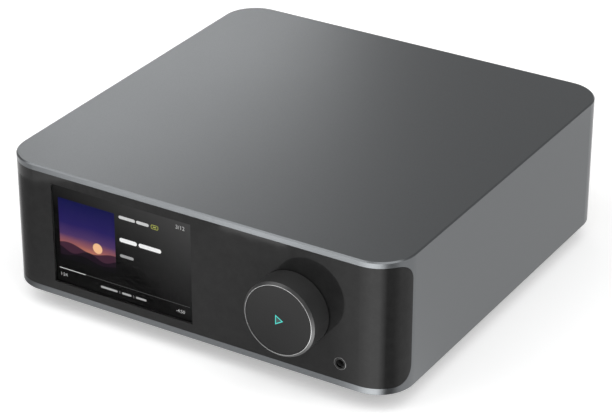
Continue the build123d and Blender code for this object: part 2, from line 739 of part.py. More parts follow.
# Rear panel with an opening for every socket
with BuildPart() as rear_panel:
    block(
        upright(PANEL_IN, 0, PANEL_Z),
        REAR_OPEN_W - 2 * PANEL_GAP,
        REAR_OPEN_H - 2 * PANEL_GAP,
        PANEL_T,
        REAR_OPEN_R - PANEL_GAP,
    )
    for x, z in PANEL_SCREWS:
        disc(upright(PANEL_IN, x, z), SCREW_R + HOLE_GAP, PANEL_T, mode=Mode.SUBTRACT)
    for x in RCA_XS:
        for z in RCA_ZS:
            disc(upright(PANEL_IN, x, z), RCA_R + RCA_COLLAR + CUT_GAP, PANEL_T, mode=Mode.SUBTRACT)
    cut = upright(PANEL_IN, OPTICAL_X, OPTICAL_OUT_LOW)
    block(cut, OPTICAL_W + 2 * CUT_GAP, 2 * OPTICAL_H + 2 * CUT_GAP, PANEL_T, mode=Mode.SUBTRACT)
    trigger_hole = upright(PANEL_IN, TRIGGER_X, BOARD_TOP + TRIGGER_H / 2)
    disc(trigger_hole, TRIGGER_NOSE_R + CUT_GAP, PANEL_T, mode=Mode.SUBTRACT)
    for x, low, width, height in (
        (HDMI_X, BOARD_TOP + HDMI_LIFT, HDMI_W, HDMI_H),
        (LAN_X, USB_LOW, USB_W, USB_H),
        (LAN_X, BOARD_TOP, LAN_W, LAN_H),
    ):
        cut = upright(PANEL_IN, x, low + height / 2)
        block(cut, width + 2 * CUT_GAP, height + 2 * CUT_GAP, PANEL_T, mode=Mode.SUBTRACT)
    mains_cut = upright(PANEL_IN, MAINS_X, MAINS_Z)
    block(mains_cut, MAINS_W + 2 * CUT_GAP, MAINS_H + 2 * CUT_GAP, PANEL_T, MAINS_R + CUT_GAP, Mode.SUBTRACT)
    disc(upright(PANEL_IN, GROUND_X, GROUND_Z), STUD_R + CUT_GAP, PANEL_T, mode=Mode.SUBTRACT)
save(rear_panel, "rear_panel")

with BuildPart() as rear_panel_screws:
    for x, z in PANEL_SCREWS:
        into = Plane(origin=(x, PANEL_OUT, z), x_dir=(1, 0, 0), z_dir=(0, -1, 0))
        screw(into, PANEL_T + SCREW_GRIP - THREAD_GAP)
save(rear_panel_screws, "rear_panel_screws")

# Display: cover glass flush with the front, the panel behind it and its frame
with BuildPart() as display_glass:
    block(
        upright(FRONT, SCREEN_X, FACE_Z),
        SCREEN_W - 2 * GLASS_GAP,
        SCREEN_H - 2 * GLASS_GAP,
        GLASS_DEPTH - BOND_T,
    )
save(display_glass, "display_glass")

with BuildPart() as display_panel:
    block(upright(POCKET_FLOOR, SCREEN_X, FACE_Z), PANEL_W, PANEL_H, FASCIA_BACK - POCKET_FLOOR)
save(display_panel, "display_panel")

with BuildPart() as display_bracket:
    frame_plane = upright(FASCIA_BACK, SCREEN_X, FACE_Z)
    block(frame_plane, BRACKET_W, BRACKET_H, BRACKET_T)
    block(frame_plane, BRACKET_W - 2 * BRACKET_BAR, BRACKET_H - BRACKET_BAR, BRACKET_T, mode=Mode.SUBTRACT)
    for x, z in BRACKET_SCREWS:
        disc(upright(FASCIA_BACK, x, z), SMALL_SCREW_R + HOLE_GAP, BRACKET_T, mode=Mode.SUBTRACT)
save(display_bracket, "display_bracket")

with BuildPart() as display_screws:
    for x, z in BRACKET_SCREWS:
        into = Plane(origin=(x, FASCIA_BACK + BRACKET_T, z), x_dir=(1, 0, 0), z_dir=(0, -1, 0))
        grip = BRACKET_T + DISPLAY_SCREW_GRIP - THREAD_GAP
        screw(into, grip, SMALL_SCREW_R, SMALL_HEAD_R, SMALL_HEAD_H)
save(display_screws, "display_screws")

ribbon_end_y = MAIN_FRONT + SOCKET_D / 2
ribbon_end_z = BOARD_TOP + SOCKET_H / 2
with BuildPart() as display_ribbon:
    strip(
        SCREEN_X,
        RIBBON_W,
        [
            (FASCIA_BACK, FACE_Z - RIBBON_DROP),
            (FASCIA_BACK + 2 * RIBBON_RUN, FACE_Z - RIBBON_DROP),
            (ribbon_end_y - RIBBON_RUN, ribbon_end_z),
            (ribbon_end_y, ribbon_end_z),
        ],
        RIBBON_BEND,
    )
save(display_ribbon, "display_ribbon")

# Volume ring: a cup that turns on the fixed sleeve by its hub
with BuildPart() as volume_knob:
    turned(
        KNOB_X,
        FACE_Z,
        [
            (KNOB_FACE_R, TRIM_BACK),
            (KNOB_R, TRIM_BACK),
            (KNOB_R, KNOB_BACK),
            (KNOB_R - KNOB_SKIRT, KNOB_BACK),
            (KNOB_R - KNOB_SKIRT, WEB_BACK),
            (HUB_R, WEB_BACK),
            (HUB_R, HUB_END),
            (SLEEVE_R + FIT_GAP, HUB_END),
            (SLEEVE_R + FIT_GAP, WEB_FRONT),
            (KNOB_FACE_R, WEB_FRONT),
        ],
    )
    groove = upright(CLIP_FRONT, KNOB_X, FACE_Z)
    disc(groove, HUB_R + OVERRUN, CLIP_T + FIT_GAP, HUB_R - CLIP_BITE, Mode.SUBTRACT)
save(volume_knob, "volume_knob")

with BuildPart() as knob_trim_ring:
    turned(
        KNOB_X,
        FACE_Z,
        [
            (KNOB_FACE_R, KNOB_FRONT),
            (KNOB_FACE_R + TRIM_LAND, KNOB_FRONT),
            (KNOB_R, TRIM_BACK),
            (KNOB_FACE_R, TRIM_BACK),
        ],
    )
save(knob_trim_ring, "knob_trim_ring")

with BuildPart() as encoder_wheel:
    disc(upright(WHEEL_FRONT, KNOB_X, FACE_Z), WHEEL_R, WHEEL_T, HUB_R + FIT_GAP)
    slot_r = WHEEL_R - WHEEL_RIM - WHEEL_SLOT_L / 2
    with BuildSketch(upright(WHEEL_FRONT, KNOB_X, FACE_Z)) as slots:
        with PolarLocations(slot_r, WHEEL_SLOTS):
            Rectangle(WHEEL_SLOT_L, WHEEL_SLOT_W)
    extrude(slots.sketch, amount=WHEEL_T, mode=Mode.SUBTRACT)
save(encoder_wheel, "encoder_wheel")

with BuildPart() as knob_retaining_clip:
    clip_plane = upright(CLIP_FRONT, KNOB_X, FACE_Z)
    disc(clip_plane, CLIP_R, CLIP_T, HUB_R - CLIP_BITE + FIT_GAP)
    mouth = upright(CLIP_FRONT, KNOB_X, FACE_Z + CLIP_R)
    block(mouth, CLIP_MOUTH, 2 * (CLIP_R - HUB_R + CLIP_BITE + OVERRUN), CLIP_T, mode=Mode.SUBTRACT)
save(knob_retaining_clip, "knob_retaining_clip")

with BuildPart() as knob_thrust_washer:
    disc(upright(BOSS_BACK, KNOB_X, FACE_Z), FASCIA_BOSS_R, WASHER_T, HUB_R + HUB_BORE_GAP)
save(knob_thrust_washer, "knob_thrust_washer")

with BuildPart() as button_guide:
    sleeve_front = WEB_FRONT + PUSH_SPARE
    disc(upright(sleeve_front, KNOB_X, FACE_Z), SLEEVE_R, CONTROL_FRONT - sleeve_front)
    disc(upright(CONTROL_FRONT - SLEEVE_FLANGE_T, KNOB_X, FACE_Z), SLEEVE_FLANGE_R, SLEEVE_FLANGE_T)
    bore = upright(sleeve_front, KNOB_X, FACE_Z)
    disc(bore, GUIDE_R + FIT_GAP, CONTROL_FRONT - sleeve_front, mode=Mode.SUBTRACT)
save(button_guide, "button_guide")


def symbol_outline(grow):
    """Right-pointing triangle with softened corners, centred in the button"""
    with BuildSketch(upright(BUTTON_FRONT, KNOB_X, FACE_Z)) as outline:
        with BuildLine():
            tip = (2 * SYMBOL_W / 3 + grow, 0)
            upper = (-SYMBOL_W / 3 - grow, SYMBOL_H / 2 + grow)
            lower = (-SYMBOL_W / 3 - grow, -SYMBOL_H / 2 - grow)
            Polyline(tip, upper, lower, close=True)
        make_face()
        fillet(outline.vertices(), SYMBOL_R)
    return outline.sketch


# Play button: face, lit symbol and clear stem that carries light from the board
with BuildPart() as play_button:
    disc(upright(BUTTON_FRONT, KNOB_X, FACE_Z), KNOB_FACE_R - BUTTON_GAP, BUTTON_T)
    chamfer(play_button.edges().filter_by(GeomType.CIRCLE).sort_by(Axis.Y)[0], BUTTON_SLOPE)
    extrude(symbol_outline(SYMBOL_FIT), amount=BUTTON_T, mode=Mode.SUBTRACT)
save(play_button, "play_button")

with BuildPart() as play_symbol:
    extrude(symbol_outline(0), amount=BUTTON_T)
save(play_symbol, "play_symbol")

with BuildPart() as button_light_guide:
    disc(upright(BUTTON_BACK, KNOB_X, FACE_Z), GUIDE_R, PLUNGER_FRONT - BUTTON_BACK)
save(button_light_guide, "button_light_guide")

with BuildPart() as push_switch:
    block(upright(SWITCH_FRONT, KNOB_X, FACE_Z), SWITCH_W, SWITCH_W, SWITCH_H)
    well = PLUNGER_SUNK + PUSH_TRAVEL + SWITCH_SPARE
    disc(upright(SWITCH_FRONT, KNOB_X, FACE_Z), PLUNGER_R + FIT_GAP, well, mode=Mode.SUBTRACT)
save(push_switch, "push_switch")

with BuildPart() as switch_plunger:
    disc(upright(PLUNGER_FRONT, KNOB_X, FACE_Z), PLUNGER_R, PLUNGER_SHOW + PLUNGER_SUNK)
save(switch_plunger, "switch_plunger")

with BuildPart() as indicator_lights:
    for side in (-1, 1):
        block(upright(CONTROL_FRONT - LIGHT_H, KNOB_X + side * LIGHT_X, FACE_Z), LIGHT_W, LIGHT_W, LIGHT_H)
save(indicator_lights, "indicator_lights")

with BuildPart() as encoder_sensor:
    fork_front = WHEEL_FRONT - SENSOR_AIR - SENSOR_LEG
    fork_low = FACE_Z - WHEEL_R - SENSOR_FOOT
    fork_high = FACE_Z - WHEEL_R + SENSOR_REACH
    body_plane = upright(fork_front, KNOB_X, (fork_low + fork_high) / 2)
    block(body_plane, SENSOR_W, fork_high - fork_low, CONTROL_FRONT - fork_front)
    gap_low = FACE_Z - WHEEL_R - SENSOR_AIR
    gap_plane = upright(WHEEL_FRONT - SENSOR_AIR, KNOB_X, (gap_low + fork_high) / 2)
    block(gap_plane, SENSOR_W, fork_high - gap_low, WHEEL_T + 2 * SENSOR_AIR, mode=Mode.SUBTRACT)
save(encoder_sensor, "encoder_sensor")

with BuildPart() as control_board:
    block(upright(CONTROL_FRONT, CONTROL_X, FACE_Z), CONTROL_W, CONTROL_H, BOARD_T)
    for x, z in CONTROL_BOSSES:
        disc(upright(CONTROL_FRONT, x, z), SCREW_R + HOLE_GAP, BOARD_T, mode=Mode.SUBTRACT)
save(control_board, "control_board")

with BuildPart() as control_board_screws:
    for x, z in CONTROL_BOSSES:
        into = Plane(origin=(x, CONTROL_REAR, z), x_dir=(1, 0, 0), z_dir=(0, -1, 0))
        screw(into, BOARD_T + SCREW_GRIP - THREAD_GAP)
save(control_board_screws, "control_board_screws")

with BuildPart() as control_ribbon:
    strip(
        CONTROL_X,
        CONTROL_RIBBON_W,
        [
            (CONTROL_REAR, BOARD_TOP + 2 * RIBBON_DROP),
            (CONTROL_REAR + RIBBON_RUN / 2, BOARD_TOP + 2 * RIBBON_DROP),
            (ribbon_end_y - RIBBON_RUN, ribbon_end_z),
            (ribbon_end_y, ribbon_end_z),
        ],
        RIBBON_BEND,
    )
save(control_ribbon, "control_ribbon")

# Headphone socket
with BuildPart() as headphone_ring:
    disc(upright(FRONT - BEZEL_PROUD, PHONES_X, PHONES_Z), BEZEL_R, BEZEL_T, BEZEL_BORE_R)
    chamfer(headphone_ring.edges().filter_by(GeomType.CIRCLE).group_by(Axis.Y)[0], BEZEL_PROUD)
save(headphone_ring, "headphone_ring")

with BuildPart() as headphone_jack:
    disc(upright(JACK_FRONT, PHONES_X, PHONES_Z), NOSE_R, FASCIA_BACK - JACK_FRONT + BACKING_GAP)
    body_front = FASCIA_BACK + BACKING_GAP
    block(upright(body_front, PHONES_X, PHONES_Z), JACK_W, JACK_H, CONTROL_FRONT - body_front)
    disc(upright(JACK_FRONT, PHONES_X, PHONES_Z), JACK_BORE_R, JACK_DEPTH, mode=Mode.SUBTRACT)
save(headphone_jack, "headphone_jack")

# Main board and the parts soldered to it
with BuildPart() as main_board:
    block(level(BOARD_UNDER, MAIN_X, MAIN_Y), MAIN_RIGHT - MAIN_LEFT, MAIN_REAR - MAIN_FRONT, BOARD_T)
    for x, y in MAIN_HOLES:
        disc(level(BOARD_UNDER, x, y), SCREW_R + HOLE_GAP, BOARD_T, mode=Mode.SUBTRACT)
save(main_board, "main_board")

with BuildPart() as board_screws:
    for x, y in MAIN_HOLES + SUPPLY_HOLES:
        into = Plane(origin=(x, y, BOARD_TOP), x_dir=(1, 0, 0), z_dir=(0, 0, -1))
        screw(into, BOARD_TOP - FLANGE_TOP - THREAD_GAP)
save(board_screws, "board_screws")

with BuildPart() as processor_shield:
    seat = level(BOARD_TOP, MAIN_X + SHIELD_SHIFT_X, MAIN_Y + SHIELD_SHIFT_Y)
    block(seat, SHIELD_W, SHIELD_D, SHIELD_H)
    block(seat, SHIELD_W - 2 * SHIELD_T, SHIELD_D - 2 * SHIELD_T, SHIELD_H - SHIELD_T, mode=Mode.SUBTRACT)
    block(seat, SHIELD_PAD, SHIELD_PAD, SHIELD_H)
save(processor_shield, "processor_shield")

with BuildPart() as circuit_chips:
    for column, size in ((0, CHIP_LARGE), (1, CHIP_SMALL)):
        for row in range(3):
            x = MAIN_X + CHIP_SHIFT_X + column * CHIP_PITCH
            y = MAIN_FRONT + CAP_FRONT_INSET + CHIP_BEHIND_CAPS + row * CHIP_PITCH
            block(level(BOARD_TOP, x, y), size, size, CHIP_H)
save(circuit_chips, "circuit_chips")

radio_x = MAIN_LEFT + RADIO_INSET
radio_y = MAIN_REAR - RADIO_REAR_INSET
with BuildPart() as wireless_module:
    block(level(BOARD_TOP, radio_x, radio_y), RADIO_W, RADIO_D, RADIO_H)
save(wireless_module, "wireless_module")

aerial_y = PANEL_IN - AERIAL_T
aerial_z = CASE_TOP - AERIAL_DROP
with BuildPart() as antennas:
    for side in (-1, 1):
        block(upright(aerial_y, side * AERIAL_X, aerial_z), AERIAL_W, AERIAL_H, AERIAL_T)
save(antennas, "antennas")

with BuildPart() as board_sockets:
    for x, width in ((SCREEN_X, SOCKET_W), (CONTROL_X, SOCKET_W - RIBBON_W + CONTROL_RIBBON_W)):
        block(level(BOARD_TOP, x, MAIN_FRONT + SOCKET_D), width, SOCKET_D, SOCKET_H)
save(board_sockets, "board_sockets")

with BuildPart() as filter_capacitors:
    row_x = MAIN_X + CAP_SHIFT_X
    row_y = MAIN_FRONT + CAP_FRONT_INSET
    caps = [(row_x + index * CAP_PITCH, row_y, CAP_R, CAP_H) for index in range(CAP_COUNT)]
    caps.append((SUPPLY_X, SUPPLY_FRONT + BULK_FRONT_INSET, BULK_R, BULK_H))
    for x, y, radius, height in caps:
        disc(level(BOARD_TOP, x, y), radius, height)
        neck = level(BOARD_TOP + radius / 2, x, y)
        disc(neck, radius + OVERRUN, 2 * CAP_GROOVE, radius - CAP_GROOVE, Mode.SUBTRACT)
save(filter_capacitors, "filter_capacitors")

# Power supply
with BuildPart() as power_supply_board:
    block(level(BOARD_UNDER, SUPPLY_X, SUPPLY_Y), SUPPLY_W, SUPPLY_REAR - SUPPLY_FRONT, BOARD_T)
    for x, y in SUPPLY_HOLES:
        disc(level(BOARD_UNDER, x, y), SCREW_R + HOLE_GAP, BOARD_T, mode=Mode.SUBTRACT)
save(power_supply_board, "power_supply_board")

with BuildPart() as power_transformer:
    core_y = SUPPLY_Y + CORE_SHIFT_Y
    block(level(BOARD_TOP, SUPPLY_X, core_y), CORE_W, CORE_D, CORE_H)
    windows = sideways(SUPPLY_X - CORE_W, core_y, BOARD_TOP + CORE_H / 2)
    block(windows, CORE_D - 2 * CORE_LEG, CORE_H - 2 * CORE_LEG, 2 * CORE_W, mode=Mode.SUBTRACT)
    disc(level(BOARD_TOP + CORE_LEG / 2, SUPPLY_X, core_y), COIL_R, CORE_H - CORE_LEG)
save(power_transformer, "power_transformer")

with BuildPart() as supply_heatsink:
    sink_y = SUPPLY_REAR - SINK_REAR_INSET
    block(level(BOARD_TOP, SUPPLY_X, sink_y), SINK_W, SINK_BASE, SINK_H)
    fin_pitch = (SINK_W - FIN_T) / (FIN_COUNT - 1)
    for fin in range(FIN_COUNT):
        x = SUPPLY_X - (SINK_W - FIN_T) / 2 + fin * fin_pitch
        block(level(BOARD_TOP, x, sink_y + SINK_D / 2), FIN_T, SINK_D, SINK_H)
save(supply_heatsink, "supply_heatsink")

# Round audio sockets: moulded blocks, plated barrels and coloured inserts
with BuildPart() as rca_housings:
    for x in RCA_XS:
        block(upright(PANEL_IN - RCA_D, x, BOARD_TOP + RCA_H / 2), RCA_W, RCA_H, RCA_D)
        for z in RCA_ZS:
            seat = upright(PANEL_IN - RCA_SUNK, x, z)
            disc(seat, RCA_R + RCA_COLLAR + RCA_FIT, RCA_SUNK, mode=Mode.SUBTRACT)
save(rca_housings, "rca_housings")


def rca_barrel(x, z):
    """Plated outer contact of one round socket"""
    collar = RCA_SUNK + PANEL_T
    disc(upright(PANEL_IN - RCA_SUNK, x, z), RCA_R + RCA_COLLAR, collar, RCA_BORE_R)
    disc(upright(PANEL_OUT, x, z), RCA_R, RCA_PROUD, RCA_BORE_R)


def rca_insert(x, z):
    """Coloured insulator inside one round socket"""
    length = RCA_SUNK + PANEL_T + RCA_PROUD - RCA_INSERT_SHY
    disc(upright(PANEL_IN - RCA_SUNK, x, z), RCA_BORE_R - RCA_FIT, length, RCA_INSERT_BORE_R)


with BuildPart() as rca_shells:
    for x in RCA_XS:
        for z in RCA_ZS:
            rca_barrel(x, z)
save(rca_shells, "rca_shells")

with BuildPart() as rca_white_inserts:
    for x in ANALOGUE_XS:
        rca_insert(x, RCA_ZS[1])
save(rca_white_inserts, "rca_white_inserts")

with BuildPart() as rca_red_inserts:
    for x in ANALOGUE_XS:
        rca_insert(x, RCA_ZS[0])
save(rca_red_inserts, "rca_red_inserts")

with BuildPart() as rca_orange_inserts:
    for z in RCA_ZS:
        rca_insert(DIGITAL_X, z)
save(rca_orange_inserts, "rca_orange_inserts")

# Optical sockets in one block, each with a door that swings in under the plug
with BuildPart() as optical_sockets:
    start = PANEL_OUT - OPTICAL_D
    block(upright(start, OPTICAL_X, OPTICAL_OUT_LOW), OPTICAL_W, 2 * OPTICAL_H, OPTICAL_D)
    ear_half = OPTICAL_HOLE_W / 2 + DOOR_PIN_L
    for low in (OPTICAL_IN_LOW, OPTICAL_OUT_LOW):
        hole_z = low + OPTICAL_SILL + OPTICAL_HOLE_H / 2
        cavity = upright(PANEL_OUT - OPTICAL_HOLE_D, OPTICAL_X, hole_z)
        block(cavity, OPTICAL_HOLE_W, OPTICAL_HOLE_H, OPTICAL_HOLE_D, mode=Mode.SUBTRACT)
        disc(cavity, OPTICAL_EYE_R, OPTICAL_EYE_L)
        axle = sideways(OPTICAL_X - ear_half, DOOR_AXIS_Y, low + DOOR_AXIS_RISE)
        disc(axle, DOOR_PIN_R + FIT_GAP, 2 * ear_half, mode=Mode.SUBTRACT)
save(optical_sockets, "optical_sockets")


def optical_door(low):
    """Door hung from its top edge on two small pins, for the socket that starts at this height"""
    width = OPTICAL_HOLE_W - 2 * DOOR_GAP
    drop = OPTICAL_HOLE_H - DOOR_T / 2 - 2 * DOOR_GAP
    axis_z = low + DOOR_AXIS_RISE
    block(upright(PANEL_OUT - DOOR_T, OPTICAL_X, axis_z - drop / 2), width, drop, DOOR_T)
    disc(sideways(OPTICAL_X - width / 2, DOOR_AXIS_Y, axis_z), DOOR_T / 2, width)
    pin_half = OPTICAL_HOLE_W / 2 + DOOR_PIN_L - FIT_GAP
    disc(sideways(OPTICAL_X - pin_half, DOOR_AXIS_Y, axis_z), DOOR_PIN_R, 2 * pin_half)


with BuildPart() as optical_in_door:
    optical_door(OPTICAL_IN_LOW)
save(optical_in_door, "optical_in_door")

with BuildPart() as optical_out_door:
    optical_door(OPTICAL_OUT_LOW)
save(optical_out_door, "optical_out_door")

# Small rear sockets
with BuildPart() as trigger_jack:
    trigger_z = BOARD_TOP + TRIGGER_H / 2
    body_back = PANEL_OUT - JACK_DEPTH - FASCIA_T
    block(upright(body_back, TRIGGER_X, trigger_z), TRIGGER_W, TRIGGER_H, PANEL_IN - body_back)
    disc(upright(PANEL_IN, TRIGGER_X, trigger_z), TRIGGER_NOSE_R, PANEL_T)
    disc(upright(PANEL_OUT - JACK_DEPTH, TRIGGER_X, trigger_z), JACK_BORE_R, JACK_DEPTH, mode=Mode.SUBTRACT)
save(trigger_jack, "trigger_jack")


def hdmi_outline(plane, inset):
    """Rectangle with its two lower corners cut on a slant"""
    half = HDMI_W / 2 - inset
    top = HDMI_H / 2 - inset
    slant = HDMI_SLANT - inset / 2
    with BuildSketch(plane) as outline:
        with BuildLine():
            Polyline(
                (-half, -top),
                (half, -top),
                (half, top - slant),
                (half - slant, top),
                (slant - half, top),
                (-half, top - slant),
                close=True,
            )
        make_face()
    return outline.sketch


with BuildPart() as hdmi_socket:
    hdmi_z = BOARD_TOP + HDMI_LIFT + HDMI_H / 2
    hdmi_back = upright(PANEL_OUT - HDMI_D, HDMI_X, hdmi_z)
    hdmi_mouth = upright(PANEL_OUT - HDMI_D + HDMI_T, HDMI_X, hdmi_z)
    extrude(hdmi_outline(hdmi_back, 0), amount=HDMI_D)
    extrude(hdmi_outline(hdmi_mouth, HDMI_T), amount=HDMI_D, mode=Mode.SUBTRACT)
    block(hdmi_back, HDMI_TONGUE_W, HDMI_TONGUE_T, HDMI_D - 2 * HDMI_T)
    leg = level(BOARD_TOP, HDMI_X, PANEL_IN - HDMI_D / 2)
    block(leg, HDMI_W - 2 * HDMI_SLANT, HDMI_D / 2, HDMI_LIFT)
save(hdmi_socket, "hdmi_socket")

# The USB socket stands on the network socket
with BuildPart() as usb_socket:
    usb_z = USB_LOW + USB_H / 2
    usb_back = upright(PANEL_OUT - USB_D, LAN_X, usb_z)
    block(usb_back, USB_W, USB_H, USB_D)
    usb_mouth = upright(PANEL_OUT - USB_D + USB_FLOOR, LAN_X, usb_z)
    block(usb_mouth, USB_W - 2 * USB_T, USB_H - 2 * USB_T, USB_D, mode=Mode.SUBTRACT)
    tongue = upright(PANEL_OUT - USB_D, LAN_X, USB_LOW + USB_H - 2 * USB_T - USB_TONGUE_T / 2)
    block(tongue, USB_TONGUE_W, USB_TONGUE_T, USB_D - USB_FLOOR)
save(usb_socket, "usb_socket")

with BuildPart() as ethernet_socket:
    block(upright(PANEL_OUT - LAN_D, LAN_X, BOARD_TOP + LAN_H / 2), LAN_W, LAN_H, LAN_D)
    lan_hole_z = BOARD_TOP + LAN_SILL + LAN_HOLE_H / 2
    lan_mouth = upright(PANEL_OUT - LAN_HOLE_D, LAN_X, lan_hole_z)
    block(lan_mouth, LAN_HOLE_W, LAN_HOLE_H, LAN_HOLE_D, mode=Mode.SUBTRACT)
    lan_key = upright(PANEL_OUT - LAN_HOLE_D, LAN_X, BOARD_TOP + LAN_SILL - LAN_KEY_H / 2)
    block(lan_key, LAN_KEY_W, LAN_KEY_H, LAN_HOLE_D, mode=Mode.SUBTRACT)
save(ethernet_socket, "ethernet_socket")

# Mains inlet with its two pins
with BuildPart() as mains_inlet:
    block(upright(PANEL_OUT - MAINS_DEPTH, MAINS_X, MAINS_Z), MAINS_W, MAINS_H, MAINS_DEPTH, MAINS_R)
    lip = upright(PANEL_IN - MAINS_LIP_T, MAINS_X, MAINS_Z)
    block(lip, MAINS_W + 2 * MAINS_LIP, MAINS_H + 2 * MAINS_LIP, MAINS_LIP_T, MAINS_R)
    floor_y = PANEL_OUT - MAINS_CAVITY
    with BuildSketch(upright(floor_y, MAINS_X, MAINS_Z)) as cavity_outline:
        with Locations((-MAINS_PIN_GAP / 2, 0), (MAINS_PIN_GAP / 2, 0)):
            Circle(MAINS_LOBE_R)
        Rectangle(MAINS_PIN_GAP, 2 * MAINS_LOBE_R - MAINS_PIN_R)
    extrude(cavity_outline.sketch, amount=MAINS_CAVITY, mode=Mode.SUBTRACT)
    for side in (-1, 1):
        hole = upright(PANEL_OUT - MAINS_DEPTH, MAINS_X + side * MAINS_PIN_GAP / 2, MAINS_Z)
        disc(hole, MAINS_PIN_R + FIT_GAP, MAINS_DEPTH, mode=Mode.SUBTRACT)
save(mains_inlet, "mains_inlet")

pin_back = PANEL_OUT - MAINS_DEPTH - MAINS_PIN_TAIL
with BuildPart() as mains_pins:
    for side in (-1, 1):
        pin_length = PANEL_OUT - MAINS_PIN_SUNK - pin_back
        disc(upright(pin_back, MAINS_X + side * MAINS_PIN_GAP / 2, MAINS_Z), MAINS_PIN_R, pin_length)
    tips = mains_pins.edges().filter_by(GeomType.CIRCLE).group_by(Axis.Y)[-1]
    fillet(tips, MAINS_PIN_R / 2)
save(mains_pins, "mains_pins")

# Ground terminal: stud, washer and knurled thumb nut
with BuildPart() as ground_post:
    disc(upright(PANEL_IN - STUD_TAIL, GROUND_X, GROUND_Z), STUD_R, STUD_TAIL + PANEL_T + STUD_PROUD)
    disc(upright(PANEL_OUT, GROUND_X, GROUND_Z), STUD_FLANGE_R, STUD_FLANGE_T)
    with BuildSketch(upright(PANEL_IN - STUD_NUT_T, GROUND_X, GROUND_Z)) as hexagon:
        RegularPolygon(STUD_NUT_R, 6)
    extrude(hexagon.sketch, amount=STUD_NUT_T)
save(ground_post, "ground_post")

with BuildPart() as ground_washer:
    disc(upright(STUD_FRONT, GROUND_X, GROUND_Z), STUD_FLANGE_R, GROUND_WASHER_T, STUD_R + STUD_FIT)
save(ground_washer, "ground_washer")

nut_front = STUD_FRONT + GROUND_WASHER_T
with BuildPart() as ground_nut:
    disc(upright(nut_front, GROUND_X, GROUND_Z), NUT_NECK_R, NUT_NECK_T)
    disc(upright(nut_front + NUT_NECK_T, GROUND_X, GROUND_Z), NUT_R, NUT_T - NUT_NECK_T)
    with BuildSketch(upright(nut_front + NUT_NECK_T, GROUND_X, GROUND_Z)) as grooves:
        with PolarLocations(NUT_R, NUT_GROOVES):
            Circle(NUT_GROOVE_R)
    extrude(grooves.sketch, amount=NUT_T - NUT_NECK_T, mode=Mode.SUBTRACT)
    disc(upright(nut_front, GROUND_X, GROUND_Z), STUD_R + STUD_FIT, NUT_T, mode=Mode.SUBTRACT)
save(ground_nut, "ground_nut")

# Wires between the boards, the mains pins and the aerials
with BuildPart() as internal_leads:
    for side in (-1, 1):
        x = MAINS_X + side * MAINS_PIN_GAP / 2
        wire(
            [
                (x, pin_back, MAINS_Z),
                (x, SUPPLY_REAR - WIRE_BEND, MAINS_Z),
                (x, SUPPLY_REAR - WIRE_BEND, BOARD_TOP),
            ],
            MAINS_WIRE_R,
            WIRE_BEND,
        )
    link_y = SUPPLY_FRONT + 2 * SUPPLY_HOLE_Y
    for row in range(LINK_WIRES):
        y = link_y + row * WIRE_BEND
        wire(
            [
                (SUPPLY_RIGHT - LINK_INSET, y, BOARD_TOP),
                (SUPPLY_RIGHT - LINK_INSET, y, BOARD_TOP + WIRE_ARCH),
                (MAIN_LEFT + LINK_INSET, y, BOARD_TOP + WIRE_ARCH),
                (MAIN_LEFT + LINK_INSET, y, BOARD_TOP),
            ],
            MAINS_WIRE_R,
            WIRE_BEND / 2,
        )
    for side in (-1, 1):
        x = radio_x + side * RADIO_W / 4
        wire(
            [
                (x, radio_y, BOARD_TOP + RADIO_H),
                (x, radio_y, aerial_z),
                (side * AERIAL_X, aerial_y - WIRE_ARCH, aerial_z),
                (side * AERIAL_X, aerial_y, aerial_z),
            ],
            AERIAL_WIRE_R,
            WIRE_BEND,
        )
save(internal_leads, "internal_leads")
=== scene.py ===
"""Studio scene of a compact network music streamer.

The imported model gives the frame. This script dresses each of its parts with a procedural finish, adds the
details that are too fine for the solid model, and sets the lamps, the floor and the camera.
Lengths are in metres. +Z is up, and the front panel faces -Y.
"""

from __future__ import annotations

import logging
import math
from dataclasses import dataclass, field
from enum import Enum

import bmesh
import bpy
from mathutils import Matrix, Vector


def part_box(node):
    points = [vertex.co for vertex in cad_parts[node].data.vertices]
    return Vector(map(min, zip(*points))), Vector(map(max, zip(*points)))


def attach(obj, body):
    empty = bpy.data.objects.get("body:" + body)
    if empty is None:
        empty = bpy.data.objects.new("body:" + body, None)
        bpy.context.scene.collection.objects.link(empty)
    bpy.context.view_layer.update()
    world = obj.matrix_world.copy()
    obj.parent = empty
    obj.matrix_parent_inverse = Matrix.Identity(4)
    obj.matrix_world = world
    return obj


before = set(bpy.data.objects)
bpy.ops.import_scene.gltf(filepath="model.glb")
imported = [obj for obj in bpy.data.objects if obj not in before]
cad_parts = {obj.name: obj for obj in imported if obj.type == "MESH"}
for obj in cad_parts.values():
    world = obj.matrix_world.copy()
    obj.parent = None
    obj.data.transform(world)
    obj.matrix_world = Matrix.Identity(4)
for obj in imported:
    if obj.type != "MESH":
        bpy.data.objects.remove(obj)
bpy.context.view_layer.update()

LOG = logging.getLogger("streamer")
MM = 0.001
SCREEN_IOR = 1.13
SCREEN_ROUGHNESS = 0.08
# Length over which a wave texture of scale 1 repeats its bands.
WAVE_LENGTH = 0.314
# Strength of a graded card, so that the levels of its ramp are about 1 at most.
CARD_PEAK = 4.0
# Size of a font, as a multiple of the height of its figures.
FONT_SHARE = 1.42

Colour = tuple[float, float, float]
Place = tuple[float, float, float]
Point = tuple[float, float]
Bar = tuple[float, float, float, float]
Box = tuple[float, float, float, float]
Levels = tuple[Point, ...]
Socket = bpy.types.NodeSocket
Mesh = bmesh.types.BMesh


def grey(level: float) -> Colour:
    """Give a neutral colour of this linear level."""
    return (level, level, level)


def scaled(colour: Colour, factor: float) -> Colour:
    """Give a colour with its levels times a factor."""
    return tuple(factor * level for level in colour)


class Run(Enum):
    """Direction in which a finish's fine lines run."""

    ALONG_X = (1.0, 60.0, 60.0)
    ALONG_Y = (60.0, 1.0, 60.0)
    ALONG_Z = (60.0, 60.0, 1.0)


